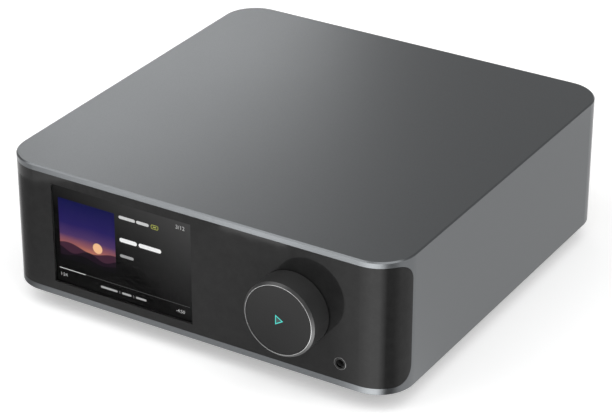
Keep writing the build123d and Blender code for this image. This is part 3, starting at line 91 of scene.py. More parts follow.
class Bands(Enum):
    """Direction along which the bands of a finish follow each other."""

    ALONG_X = "X"
    ALONG_Z = "Z"


class Lamp(Enum):
    """The studio's soft boxes."""

    TOP = "top_softbox"
    LID = "lid_softbox"
    EDGE = "edge_softbox"


class Graph:
    """Node tree of one material, with short calls for the nodes that the finishes share."""

    def __init__(self, name: str) -> None:
        """Make a material with a Principled shader at its output.

        Args:
            name: Name of the material.
        """
        self.material = bpy.data.materials.new(name)
        self.material.use_nodes = True
        self.tree = self.material.node_tree
        self.tree.nodes.clear()
        output = self.add("ShaderNodeOutputMaterial")
        self.shader = self.add("ShaderNodeBsdfPrincipled")
        self.feed(output.inputs["Surface"], self.shader.outputs["BSDF"])
        self.place = self.add("ShaderNodeTexCoord").outputs["Object"]

    def feed(self, end: Socket, value: Socket | Colour | float) -> None:
        """Link a value to an input, or set it there where it isn't a socket.

        Args:
            end: The input.
            value: What it gets.
        """
        if isinstance(value, Socket):
            self.tree.links.new(value, end)
        else:
            end.default_value = (*value, 1.0) if end.type == "RGBA" else value

    def add(
        self, kind: str, feeds: dict[str | int, Socket | Colour | float] | None = None, **settings: object
    ) -> bpy.types.Node:
        """Add a node.

        Args:
            kind: Type name of the node.
            feeds: What its inputs get, by name or number.
            settings: Properties to set on it.

        Returns:
            The new node.
        """
        node = self.tree.nodes.new(kind)
        for name, value in settings.items():
            setattr(node, name, value)
        for name, value in (feeds or {}).items():
            self.feed(node.inputs[name], value)
        return node

    def give(self, **values: Socket | Colour | float) -> None:
        """Feed the shader's own inputs, which are named with underscores for spaces."""
        for name, value in values.items():
            self.feed(self.shader.inputs[name.replace("_", " ")], value)

    def axes(self) -> list[Socket]:
        """Give the object's coordinates one by one."""
        return list(self.add("ShaderNodeSeparateXYZ", {0: self.place}).outputs)

    def stretched(self, scale: Place) -> Socket:
        """Give object coordinates that are stretched by a factor along each axis."""
        return self.add("ShaderNodeMapping", {"Scale": scale, "Vector": self.place}).outputs["Vector"]

    def noise(
        self, scale: float, detail: float = 2.0, roughness: float = 0.5, vector: Socket | None = None
    ) -> Socket:
        """Give a noise from 0 to 1, at a scale of grains in a metre."""
        feeds = {"Scale": scale, "Detail": detail, "Roughness": roughness, "Vector": vector or self.place}
        return self.add("ShaderNodeTexNoise", feeds).outputs["Fac"]

    def span(self, value: Socket, low: float, high: float, start: float = 0.3, end: float = 0.7) -> Socket:
        """Map a value that runs from start to end onto the range from low to high."""
        feeds = {"Value": value, "From Min": start, "From Max": end, "To Min": low, "To Max": high}
        return self.add("ShaderNodeMapRange", feeds).outputs["Result"]

    def blend(self, factor: Socket, first: Socket | Colour, second: Colour) -> Socket:
        """Mix two colours, where a factor of 0 gives the first and 1 the second."""
        return self.add("ShaderNodeMix", {0: factor, 6: first, 7: second}, data_type="RGBA").outputs[2]

    def tone(self, value: Socket, colour: Colour, dark: float, light: float) -> Socket:
        """Vary a colour by a texture, from its levels times dark to its levels times light."""
        return self.blend(self.span(value, 0.0, 1.0), scaled(colour, dark), scaled(colour, light))

    def ramp(self, factor: Socket, stops: list[tuple[float, Colour]]) -> Socket:
        """Colour a value by a row of stops.

        Args:
            factor: Value from 0 to 1.
            stops: Place and colour of each stop, in order.

        Returns:
            The colour.
        """
        node = self.add("ShaderNodeValToRGB", {"Fac": factor})
        elements = node.color_ramp.elements
        while len(elements) < len(stops):
            elements.new(1.0)
        for element, (place, colour) in zip(elements, stops):
            element.position = place
            element.color = (*colour, 1.0)
        return node.outputs["Color"]

    def math(self, operation: str, first: Socket, second: Socket | float = 0.0) -> Socket:
        """Combine two values, or change the first where the operation reads only one."""
        return self.add("ShaderNodeMath", {0: first, 1: second}, operation=operation).outputs[0]

    def weigh(self, first: Socket, share: float, second: Socket, rest: float) -> Socket:
        """Add two values, each times its own weight."""
        return self.math("ADD", self.math("MULTIPLY", first, share), self.math("MULTIPLY", second, rest))

    def radius(self, centre: Place) -> Socket:
        """Give the distance from an axis that runs along Y.

        Args:
            centre: A point on the axis.

        Returns:
            The distance in metres.
        """
        kind = "ShaderNodeVectorMath"
        moved = self.add(kind, {0: self.place, 1: centre}, operation="SUBTRACT").outputs[0]
        flat = self.add(kind, {0: moved, 1: (1.0, 0.0, 1.0)}, operation="MULTIPLY").outputs[0]
        return self.add(kind, {0: flat}, operation="LENGTH").outputs["Value"]

    def bump(self, height: Socket, depth: float, strength: float = 1.0) -> None:
        """Give the shader a relief, whose height from 0 to 1 stands for a depth in metres."""
        node = self.add("ShaderNodeBump", {"Strength": strength, "Distance": depth, "Height": height})
        self.give(Normal=node.outputs["Normal"], Coat_Normal=node.outputs["Normal"])


@dataclass(frozen=True)
class Finish:
    """Base of all finishes.

    Args:
        name: Name of the material, which is the record's slot name where it has one.
    """

    name: str

    def paint(self, graph: Graph) -> None:
        """Add this finish's nodes to a graph."""
        raise NotImplementedError

    def material(self) -> bpy.types.Material:
        """Give the finish's material, made on first use.

        Returns:
            The material.
        """
        title = "finish_" + self.name
        found = bpy.data.materials.get(title)
        if found:
            return found
        graph = Graph(title)
        self.paint(graph)
        return graph.material


@dataclass(frozen=True)
class BlastedAluminium(Finish):
    """Bead-blasted and anodised aluminium.

    Args:
        colour: Colour of the anodising.
        roughness: Middle roughness.
        spread: How far the roughness strays from it.
        grain: Number of blast marks in a metre.
        depth: Depth of the blast marks.
    """

    colour: Colour = grey(0.2)
    roughness: float = 0.36
    spread: float = 0.004
    grain: float = 2600.0
    depth: float = 0.012 * MM

    def paint(self, graph: Graph) -> None:
        """Add a fine blast grain in relief and tone, and a very slightly uneven roughness.

        Args:
            graph: Node tree to add to.
        """
        cloud = graph.noise(14.0, 3.0)
        grain = graph.noise(self.grain, 3.0, 0.6)
        graph.give(
            Base_Color=graph.tone(grain, self.colour, 0.94, 1.06),
            Roughness=graph.span(cloud, self.roughness - self.spread, self.roughness + self.spread),
            Metallic=1.0,
        )
        graph.bump(grain, self.depth)


@dataclass(frozen=True)
class PianoGloss(Finish):
    """Glossy moulded near-black with a hard clear face.

    Args:
        colour: Colour under the gloss.
        roughness: Roughness where the face is clean.
        depth: Depth of the waviness from moulding.
    """

    colour: Colour = grey(0.003)
    roughness: float = 0.06
    depth: float = 0.01 * MM

    def paint(self, graph: Graph) -> None:
        """Add very slight waviness from moulding, and faint handling marks.

        Args:
            graph: Node tree to add to.
        """
        marks = graph.noise(190.0, 6.0, 0.7)
        graph.give(
            Base_Color=graph.tone(marks, self.colour, 0.7, 1.0),
            Roughness=graph.span(marks, self.roughness, self.roughness + 0.05, 0.45, 0.8),
            IOR=1.24,
        )
        graph.bump(graph.noise(28.0, 1.0), self.depth, 0.6)


@dataclass(frozen=True)
class MouldedPlastic(Finish):
    """Moulded plastic with a spark-eroded texture.

    Args:
        colour: Colour of the plastic.
        roughness: Middle roughness.
        grain: Number of texture pits in a metre.
        depth: Depth of the texture.
    """

    colour: Colour = grey(0.03)
    roughness: float = 0.55
    grain: float = 1800.0
    depth: float = 0.03 * MM

    def paint(self, graph: Graph) -> None:
        """Add the pitted texture, a slight flow mark in the tone, and rubbed patches.

        Args:
            graph: Node tree to add to.
        """
        pits = graph.noise(self.grain, 4.0, 0.65)
        flow = graph.noise(24.0, 3.0, 0.6, graph.stretched((1.0, 0.4, 1.0)))
        graph.give(
            Base_Color=graph.tone(graph.weigh(pits, 0.5, flow, 0.5), self.colour, 0.82, 1.12),
            Roughness=graph.span(flow, self.roughness - 0.05, self.roughness + 0.05),
            IOR=1.47,
        )
        graph.bump(pits, self.depth)


@dataclass(frozen=True)
class SpunMetal(Finish):
    """Metal turned on a lathe, with fine rings round an axis along Y.

    Args:
        centre: A point on the axis.
        colour: Colour of the metal.
        roughness: Middle roughness.
        pitch: Distance between the rings.
        depth: Depth of the rings.
        metallic: 1 for bare metal, less where a lacquer covers it.
        edge: Colour of a lighter band, partly the polished edge's own colour and partly a painted edge
            highlight.
        edge_from: Radius at which the lighter band starts.
        edge_to: Radius at which it ends, or 0 where there is none.
    """

    centre: Place = (0.0, 0.0, 0.0)
    colour: Colour = grey(0.05)
    roughness: float = 0.3
    pitch: float = 0.18 * MM
    depth: float = 0.004 * MM
    metallic: float = 1.0
    edge: Colour = grey(0.5)
    edge_from: float = 0.0
    edge_to: float = 0.0

    def paint(self, graph: Graph) -> None:
        """Add rings of uneven depth, a tone that changes from ring to ring, and the lighter edge band,
        polished metal with a painted highlight.

        Args:
            graph: Node tree to add to.
        """
        radius = graph.radius(self.centre)
        feeds = {"Scale": 1.0 / self.pitch, "Detail": 3.0, "W": radius}
        lines = graph.add("ShaderNodeTexNoise", feeds, noise_dimensions="1D").outputs["Fac"]
        tone = graph.tone(lines, self.colour, 0.85, 1.15)
        # Lighter band between two radii: partly polished metal, partly a painted edge highlight.
        if self.edge_to > 0.0:
            past = graph.math("GREATER_THAN", radius, self.edge_from)
            within = graph.math("MULTIPLY", past, graph.math("LESS_THAN", radius, self.edge_to))
            tone = graph.blend(within, tone, self.edge)
        graph.give(
            Base_Color=tone,
            Roughness=graph.span(graph.noise(90.0, 2.0), self.roughness - 0.03, self.roughness + 0.03),
            Metallic=self.metallic,
        )
        graph.bump(lines, self.depth)


@dataclass(frozen=True)
class BrushedMetal(Finish):
    """Rolled, brushed or plated metal with fine straight lines.

    Args:
        colour: Colour of the metal.
        roughness: Middle roughness.
        run: Direction of the lines.
        depth: Depth of the lines.
    """

    colour: Colour = grey(0.55)
    roughness: float = 0.32
    run: Run = Run.ALONG_X
    depth: float = 0.006 * MM

    def paint(self, graph: Graph) -> None:
        """Add the lines, cloudy plating and duller patches.

        Args:
            graph: Node tree to add to.
        """
        lines = graph.noise(90.0, 5.0, 0.7, graph.stretched(self.run.value))
        cloud = graph.noise(60.0, 4.0, 0.6)
        graph.give(
            Base_Color=graph.tone(graph.weigh(lines, 0.6, cloud, 0.4), self.colour, 0.8, 1.1),
            Roughness=graph.span(cloud, self.roughness - 0.06, self.roughness + 0.08),
            Metallic=1.0,
        )
        graph.bump(lines, self.depth)


@dataclass(frozen=True)
class Rubber(Finish):
    """Soft rubber or cable sleeve.

    Args:
        colour: Colour of the rubber.
        roughness: Middle roughness.
        depth: Depth of the grain.
    """

    colour: Colour = grey(0.018)
    roughness: float = 0.72
    depth: float = 0.02 * MM

    def paint(self, graph: Graph) -> None:
        """Add a dusty bloom, a fine matt grain and rubbed patches.

        Args:
            graph: Node tree to add to.
        """
        bloom = graph.noise(160.0, 4.0, 0.6)
        graph.give(
            Base_Color=graph.tone(bloom, self.colour, 1.0, 1.9),
            Roughness=graph.span(bloom, self.roughness - 0.08, self.roughness + 0.08),
            Sheen_Weight=0.15,
            Sheen_Roughness=0.5,
            IOR=1.45,
        )
        graph.bump(graph.noise(2400.0, 3.0, 0.6), self.depth)


@dataclass(frozen=True)
class ClearPart(Finish):
    """Clear glass or moulded clear plastic.

    Args:
        colour: Tint.
        roughness: Roughness of its faces.
        ior: Index of refraction. A coated cover glass has a low one, which gives it a weak reflection.
    """

    colour: Colour = grey(1.0)
    roughness: float = 0.02
    ior: float = 1.5

    def paint(self, graph: Graph) -> None:
        """Add faint wipe marks to the roughness, and a slight change of tint.

        Args:
            graph: Node tree to add to.
        """
        wipe = graph.noise(70.0, 5.0, 0.7, graph.stretched((1.0, 1.0, 4.0)))
        graph.give(
            Base_Color=graph.tone(wipe, self.colour, 0.985, 1.0),
            Roughness=graph.span(wipe, self.roughness, self.roughness + 0.012, 0.45, 0.8),
            Transmission_Weight=1.0,
            IOR=self.ior,
        )


@dataclass(frozen=True)
class LitPlastic(Finish):
    """Plastic that is lit from behind.

    Args:
        colour: Colour of the light.
        glow: Strength of the light.
        body: Colour of the plastic itself.
        roughness: Middle roughness.
        ior: Index of refraction.
        depth: Depth of the face's grain.
    """

    colour: Colour = (0.0, 0.6, 0.55)
    glow: float = 1.0
    body: Colour = grey(0.02)
    roughness: float = 0.42
    ior: float = 1.5
    depth: float = 0.002 * MM

    def paint(self, graph: Graph) -> None:
        """Add uneven diffusion to the light.

        Args:
            graph: Node tree to add to.
        """
        cloud = graph.noise(700.0, 3.0, 0.6)
        graph.give(
            Emission_Color=graph.tone(cloud, self.colour, 0.9, 1.0),
            Emission_Strength=self.glow,
            Base_Color=self.body,
            Roughness=graph.span(cloud, 0.9 * self.roughness, 1.1 * self.roughness),
            IOR=self.ior,
        )
        graph.bump(cloud, self.depth)


@dataclass(frozen=True)
class ScreenSheet(Finish):
    """Base of the display's lit sheets.

    Args:
        box: Left, lower, right and upper side of the sheet.
    """

    box: Box = (0.0, 0.0, 1.0, 1.0)

    def spot(self, graph: Graph) -> tuple[Socket, Socket]:
        """Give the place on the sheet from the left and from the bottom, each from 0 to 1."""
        (left, bottom, right, top), (x, _, z) = self.box, graph.axes()
        return graph.span(x, 0.0, 1.0, left, right), graph.span(z, 0.0, 1.0, bottom, top)

    def light(self, graph: Graph, colour: Socket) -> None:
        """Light the sheet in a colour."""
        graph.give(Emission_Color=colour, Emission_Strength=1.0)
        graph.give(Base_Color=grey(0.0), Roughness=SCREEN_ROUGHNESS, IOR=SCREEN_IOR)


@dataclass(frozen=True)
class ScreenGlow(ScreenSheet):
    """Dark backlit base of the picture, brightest at its upper right.

    Args:
        dark: Level at the lower left.
        bright: Level at the upper right.
    """

    dark: float = 0.0006
    bright: float = 0.056

    def paint(self, graph: Graph) -> None:
        """Add the diagonal gradient with a fine pixel grain.

        Args:
            graph: Node tree to add to.
        """
        across, upward = self.spot(graph)
        both = graph.weigh(across, 0.45, upward, 0.55)
        even = graph.math("ADD", both, graph.math("MULTIPLY", graph.noise(9000.0, 1.0), 0.02))
        stops = [
            (0.0, grey(self.dark)),
            (0.42, grey(self.dark * 2.0)),
            (0.68, grey(self.bright * 0.36)),
            (1.0, grey(self.bright)),
        ]
        self.light(graph, graph.ramp(graph.math("SUBTRACT", even, 0.01), stops))


@dataclass(frozen=True)
class DuskPicture(ScreenSheet):
    """The display's square picture: a low sun over three rows of hills under a dusk sky.

    Args:
        sun: Centre of the sun, as shares of the picture's width and height.
        sun_size: Radius of the sun, as a share.
    """

    sun: Point = (0.68, 0.33)
    sun_size: float = 0.08

    def paint(self, graph: Graph) -> None:
        """Add the bands of the sky, bent a little by thin cloud, then the sun and the hills over them.

        Args:
            graph: Node tree to add to.
        """
        spot = self.spot(graph)
        cloud = graph.noise(120.0, 4.0, 0.55, graph.stretched((0.35, 1.0, 1.6)))
        bent = graph.math("ADD", spot[1], graph.math("MULTIPLY", cloud, 0.1))
        sky = [
            (0.14, (0.66, 0.25, 0.13)),
            (0.28, (0.3, 0.1, 0.1)),
            (0.42, (0.07, 0.034, 0.12)),
            (0.62, (0.018, 0.012, 0.1)),
            (1.0, (0.005, 0.006, 0.062)),
        ]
        colour = graph.ramp(graph.math("SUBTRACT", bent, 0.05), sky)
        colour = graph.blend(self.sun_mask(graph, spot), colour, (0.86, 0.5, 0.27))
        rows = (
            ((0.25, 0.04, 7.6, 0.4), (0.05, 0.017, 0.034)),
            ((0.17, 0.045, 11.0, 2.2), (0.012, 0.005, 0.012)),
            ((0.09, 0.03, 8.8, 4.4), (0.002, 0.0015, 0.003)),
        )
        for crest, shade in rows:
            colour = graph.blend(self.hill_mask(graph, spot, *crest), colour, shade)
        self.light(graph, colour)

    def sun_mask(self, graph: Graph, spot: tuple[Socket, Socket]) -> Socket:
        """Give the mask of the sun.

        Args:
            graph: Node tree to add to.
            spot: Place from the left and from the bottom.

        Returns:
            1 inside the sun, with a soft edge.
        """
        squares = []
        for value, middle in zip(spot, self.sun):
            away = graph.math("ABSOLUTE", graph.math("SUBTRACT", value, middle))
            squares.append(graph.math("POWER", away, 2.0))
        distance = graph.math("SQRT", graph.math("ADD", *squares))
        return graph.span(distance, 1.0, 0.0, self.sun_size, self.sun_size * 1.1)

    def hill_mask(
        self, graph: Graph, spot: tuple[Socket, Socket], lift: float, swell: float, waves: float, phase: float
    ) -> Socket:
        """Give the mask of one row of hills.

        Args:
            graph: Node tree to add to.
            spot: Place from the left and from the bottom.
            lift: Middle height of the crest.
            swell: Height of the hills over the middle.
            waves: Turns of the crest's wave in radians over the width.
            phase: Start of the wave in radians.

        Returns:
            1 under the crest, with a soft edge.
        """
        blur = 0.006
        turn = graph.math("ADD", graph.math("MULTIPLY", spot[0], waves), phase)
        crest = graph.math("MULTIPLY", graph.math("SINE", turn), swell)
        return graph.span(graph.math("SUBTRACT", spot[1], crest), 1.0, 0.0, lift - blur, lift + blur)


@dataclass(frozen=True)
class CircuitLaminate(Finish):
    """Circuit board with solder mask over copper tracks.

    Args:
        mask: Colour of the solder mask.
        track: Colour over a track.
        plating: Colour of the plated holes.
        rows: Scale of the pattern of tracks.
        line: Share of that pattern that a track takes.
        cells: Number of holes in a metre.
    """

    mask: Colour = (0.004, 0.05, 0.02)
    track: Colour = (0.012, 0.1, 0.045)
    plating: Colour = (0.6, 0.5, 0.3)
    rows: float = 220.0
    line: float = 0.06
    cells: float = 260.0

    def paint(self, graph: Graph) -> None:
        """Add tracks in two directions, plated holes and a glassy mask.

        Args:
            graph: Node tree to add to.
        """
        feeds = {"Scale": self.rows, "Mortar Size": self.line, "Vector": graph.place}
        tracks = graph.add("ShaderNodeTexBrick", feeds).outputs["Fac"]
        cells = graph.add("ShaderNodeTexVoronoi", {"Scale": self.cells, "Vector": graph.place})
        holes = graph.span(cells.outputs["Distance"], 1.0, 0.0, 0.07, 0.1)
        graph.give(
            Base_Color=graph.blend(holes, graph.blend(tracks, self.mask, self.track), self.plating),
            Roughness=graph.span(graph.noise(300.0), 0.25, 0.4),
            IOR=1.5,
        )
        graph.bump(tracks, 0.03 * MM)


@dataclass(frozen=True)
class Striped(Finish):
    """Part wrapped or printed in bands, such as a winding or a flat ribbon.

    Args:
        first: Colour of the bands.
        second: Colour between them.
        pitch: Distance from band to band.
        bands: Direction along which the bands follow each other.
        roughness: Middle roughness.
        depth: Height of the bands.
    """

    first: Colour = grey(0.8)
    second: Colour = grey(0.4)
    pitch: float = 1.0 * MM
    bands: Bands = Bands.ALONG_Z
    roughness: float = 0.4
    depth: float = 0.06 * MM

    def paint(self, graph: Graph) -> None:
        """Add the bands, their raised edges and slight wear.

        Args:
            graph: Node tree to add to.
        """
        scale = WAVE_LENGTH / self.pitch
        feeds = {"Scale": scale, "Distortion": 0.15, "Detail": 2.0, "Vector": graph.place}
        node = graph.add("ShaderNodeTexWave", feeds, wave_type="BANDS", bands_direction=self.bands.value)
        wave = node.outputs["Fac"]
        graph.give(
            Base_Color=graph.blend(graph.span(wave, 0.0, 1.0, 0.35, 0.6), self.second, self.first),
            Roughness=graph.span(graph.noise(220.0, 4.0), self.roughness - 0.06, self.roughness + 0.08),
            IOR=1.48,
        )
        graph.bump(wave, self.depth)


@dataclass(frozen=True)
class StudioFloor(Finish):
    """Pale floor that reads as white and keeps the object's shadow.

    Args:
        tone: Level of the floor's own colour.
        lift: Light added for the camera and for reflections, so that the lit floor is white.
    """

    tone: float = 0.9
    lift: float = 0.39

    def paint(self, graph: Graph) -> None:
        """Add the lift by Light Path, for camera, glossy and transmission rays alike.

        Args:
            graph: Node tree to add to.
        """
        path = graph.add("ShaderNodeLightPath").outputs
        seen = graph.math("MAXIMUM", path["Is Camera Ray"], path["Is Glossy Ray"])
        seen = graph.math("MAXIMUM", seen, path["Is Transmission Ray"])
        graph.give(
            Base_Color=grey(self.tone),
            Roughness=graph.span(graph.noise(400.0, 2.0), 0.85, 0.95),
            Specular_IOR_Level=0.0,
            Emission_Color=grey(1.0),
            Emission_Strength=graph.math("MULTIPLY", seen, self.lift),
        )


@dataclass(frozen=True)
class GradedCard(Finish):
    """Card whose level changes with the direction from its apex.

    Args:
        levels: Directions in degrees, from the front towards the right, and the level in each.
    """

    levels: Levels = ((0.0, 1.0),)

    def paint(self, graph: Graph) -> None:
        """Add the levels as a ramp over the direction.

        Args:
            graph: Node tree to add to.
        """
        x, y, _ = graph.axes()
        turn = graph.math("ARCTAN2", x, graph.math("MULTIPLY", y, -1.0))
        start, end = self.levels[0][0], self.levels[-1][0]
        stops = [((angle - start) / (end - start), grey(level / CARD_PEAK)) for angle, level in self.levels]
        place = graph.span(turn, 0.0, 1.0, math.radians(start), math.radians(end))
        graph.give(
            Emission_Color=graph.ramp(place, stops),
            Emission_Strength=CARD_PEAK,
            Base_Color=grey(0.0),
            Roughness=1.0,
            Specular_IOR_Level=0.0,
        )


JACK = MouldedPlastic("jack", grey(0.07), 0.4, 2600.0, 0.01 * MM)
CONTACTS = BrushedMetal("contacts", (0.85, 0.62, 0.25), 0.2, Run.ALONG_Y)


@dataclass
class Outline:
    """Flat closed outline in the X-Z plane that becomes a thin solid.

    Args:
        points: Corners in order, as (x, z).
        back: Y of its rear face.
        depth: Thickness towards the viewer.
        hole: Corners of a hole with as many points, or none.
    """

    points: list[Point]
    back: float
    depth: float
    hole: list[Point] = field(default_factory=list)

    def raise_in(self, shape: Mesh) -> None:
        """Add the solid to a mesh.

        Args:
            shape: Mesh to add to.
        """
        outlines = [ring for ring in (self.points, self.hole) if ring]
        count = len(self.points)
        after = [(step + 1) % count for step in range(count)]
        levels = []
        for y in (self.back, self.back - self.depth):
            levels.append([[shape.verts.new((x, y, z)) for x, z in ring] for ring in outlines])
        for low, high in zip(*levels):
            for step in range(count):
                shape.faces.new((low[step], low[after[step]], high[after[step]], high[step]))
        for rings in levels:
            if not self.hole:
                shape.faces.new(rings[0])
                continue
            outer, inner = rings
            for step in range(count):
                shape.faces.new((outer[step], outer[after[step]], inner[after[step]], inner[step]))
        bmesh.ops.recalc_face_normals(shape, faces=shape.faces)


def rounded_bar(box: Box, radius: float) -> list[Point]:
    """Give the corners of a rectangle with round corners.

    Args:
        box: Its left, lower, right and upper side.
        radius: Radius of the corners.

    Returns:
        The points, counter-clockwise from the lower right corner.
    """
    steps = 5
    left, bottom, right, top = box
    radius = min(radius, (right - left) / 2, (top - bottom) / 2)
    centres = (
        (right - radius, bottom + radius, -90.0),
        (right - radius, top - radius, 0.0),
        (left + radius, top - radius, 90.0),
        (left + radius, bottom + radius, 180.0),
    )
    points = []
    for x, z, start in centres:
        for step in range(steps + 1):
            angle = math.radians(start + 90.0 * step / steps)
            points.append((x + radius * math.cos(angle), z + radius * math.sin(angle)))
    return points


def line_frame(box: Box, radius: float, line: float) -> tuple[list[Point], list[Point]]:
    """Give the outer and inner corners of a frame with round corners.

    Args:
        box: Its left, lower, right and upper side.
        radius: Radius of the outer corners.
        line: Width of the frame's line.

    Returns:
        The outer and the inner points.
    """
    left, bottom, right, top = box
    inner = (left + line, bottom + line, right - line, top - line)
    return rounded_bar(box, radius), rounded_bar(inner, radius - line)


def make_object(name: str, shape: Mesh, finish: Finish) -> bpy.types.Object:
    """Make an object in the scene.

    Args:
        name: Name of the object.
        shape: Its mesh, which is used up.
        finish: Its finish.

    Returns:
        The new object.
    """
    mesh = bpy.data.meshes.new(name)
    shape.to_mesh(mesh)
    shape.free()
    mesh.materials.append(finish.material())
    made = bpy.data.objects.new(name, mesh)
    bpy.context.scene.collection.objects.link(made)
    return made


class SubAssembly:
    """Base of the groups of parts, with the calls that they share."""

    body = "root"

    def dress(self, finish: Finish, *nodes: str) -> None:
        """Give solid parts a finish.

        Args:
            finish: Finish to apply.
            nodes: Names of the parts.
        """
        for name in nodes:
            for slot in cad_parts[name].material_slots:
                slot.material = finish.material()
            LOG.info("dressed %s with %s", name, finish.name)

    def ride(self, piece: bpy.types.Object, slot: str) -> None:
        """Let a piece ride on the group's body.

        Args:
            piece: The piece.
            slot: Not used.
        """
        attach(piece, self.body)
        LOG.info("made %s", piece.name)

    def add(self, name: str, shape: Mesh, finish: Finish, slot: str) -> None:
        """Make a piece that rides on the group's body."""
        self.ride(make_object(name, shape, finish), slot)

    def build(self) -> None:
        """Dress the group's parts and make its fine pieces."""
        raise NotImplementedError


@dataclass
class Housing(SubAssembly):
    """Aluminium shell, base, feet and their screws.

    Args:
        tone: Colour of the shell.
        roughness: Roughness of the shell.
    """

    tone: Colour = (0.147, 0.154, 0.16)
    roughness: float = 0.285

    def build(self) -> None:
        """Dress the shell, base, feet and screws."""
        self.dress(BlastedAluminium("housing", self.tone, self.roughness), "top_housing")
        self.dress(MouldedPlastic("base", grey(0.02), 0.6, 1500.0), "base_plate")
        self.dress(Rubber("feet"), "rubber_feet")
        steel = BrushedMetal("screws", grey(0.09), 0.38, Run.ALONG_Z)
        self.dress(steel, "base_screws", "fascia_screws", "rear_panel_screws")
        self.dress(steel, "display_screws", "control_board_screws", "board_screws")


@dataclass
class FrontPanel(SubAssembly):
    """Glossy front with its headphone socket.

    Args:
        gloss: Roughness of the clean front.
        lip_from: Radius at which the headphone ring's lighter lip starts, polished metal with a painted edge
            highlight.
        lip_to: Radius at which the lip ends.
    """

    gloss: float = 0.06
    lip_from: float = 2.75 * MM
    lip_to: float = 4.0 * MM

    def build(self) -> None:
        """Dress the front panel and the headphone socket."""
        self.dress(PianoGloss("fascia", grey(0.026), self.gloss), "front_fascia")
        low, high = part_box("headphone_ring")
        centre = tuple((low + high) / 2)
        # The ring's lip is painted lighter: partly its polished metal, partly a painted edge highlight.
        lip = {"edge": grey(0.2), "edge_from": self.lip_from, "edge_to": self.lip_to}
        self.dress(SpunMetal("bezel", centre, grey(0.03), 0.3, 0.12 * MM, **lip), "headphone_ring")
        self.dress(JACK, "headphone_jack")


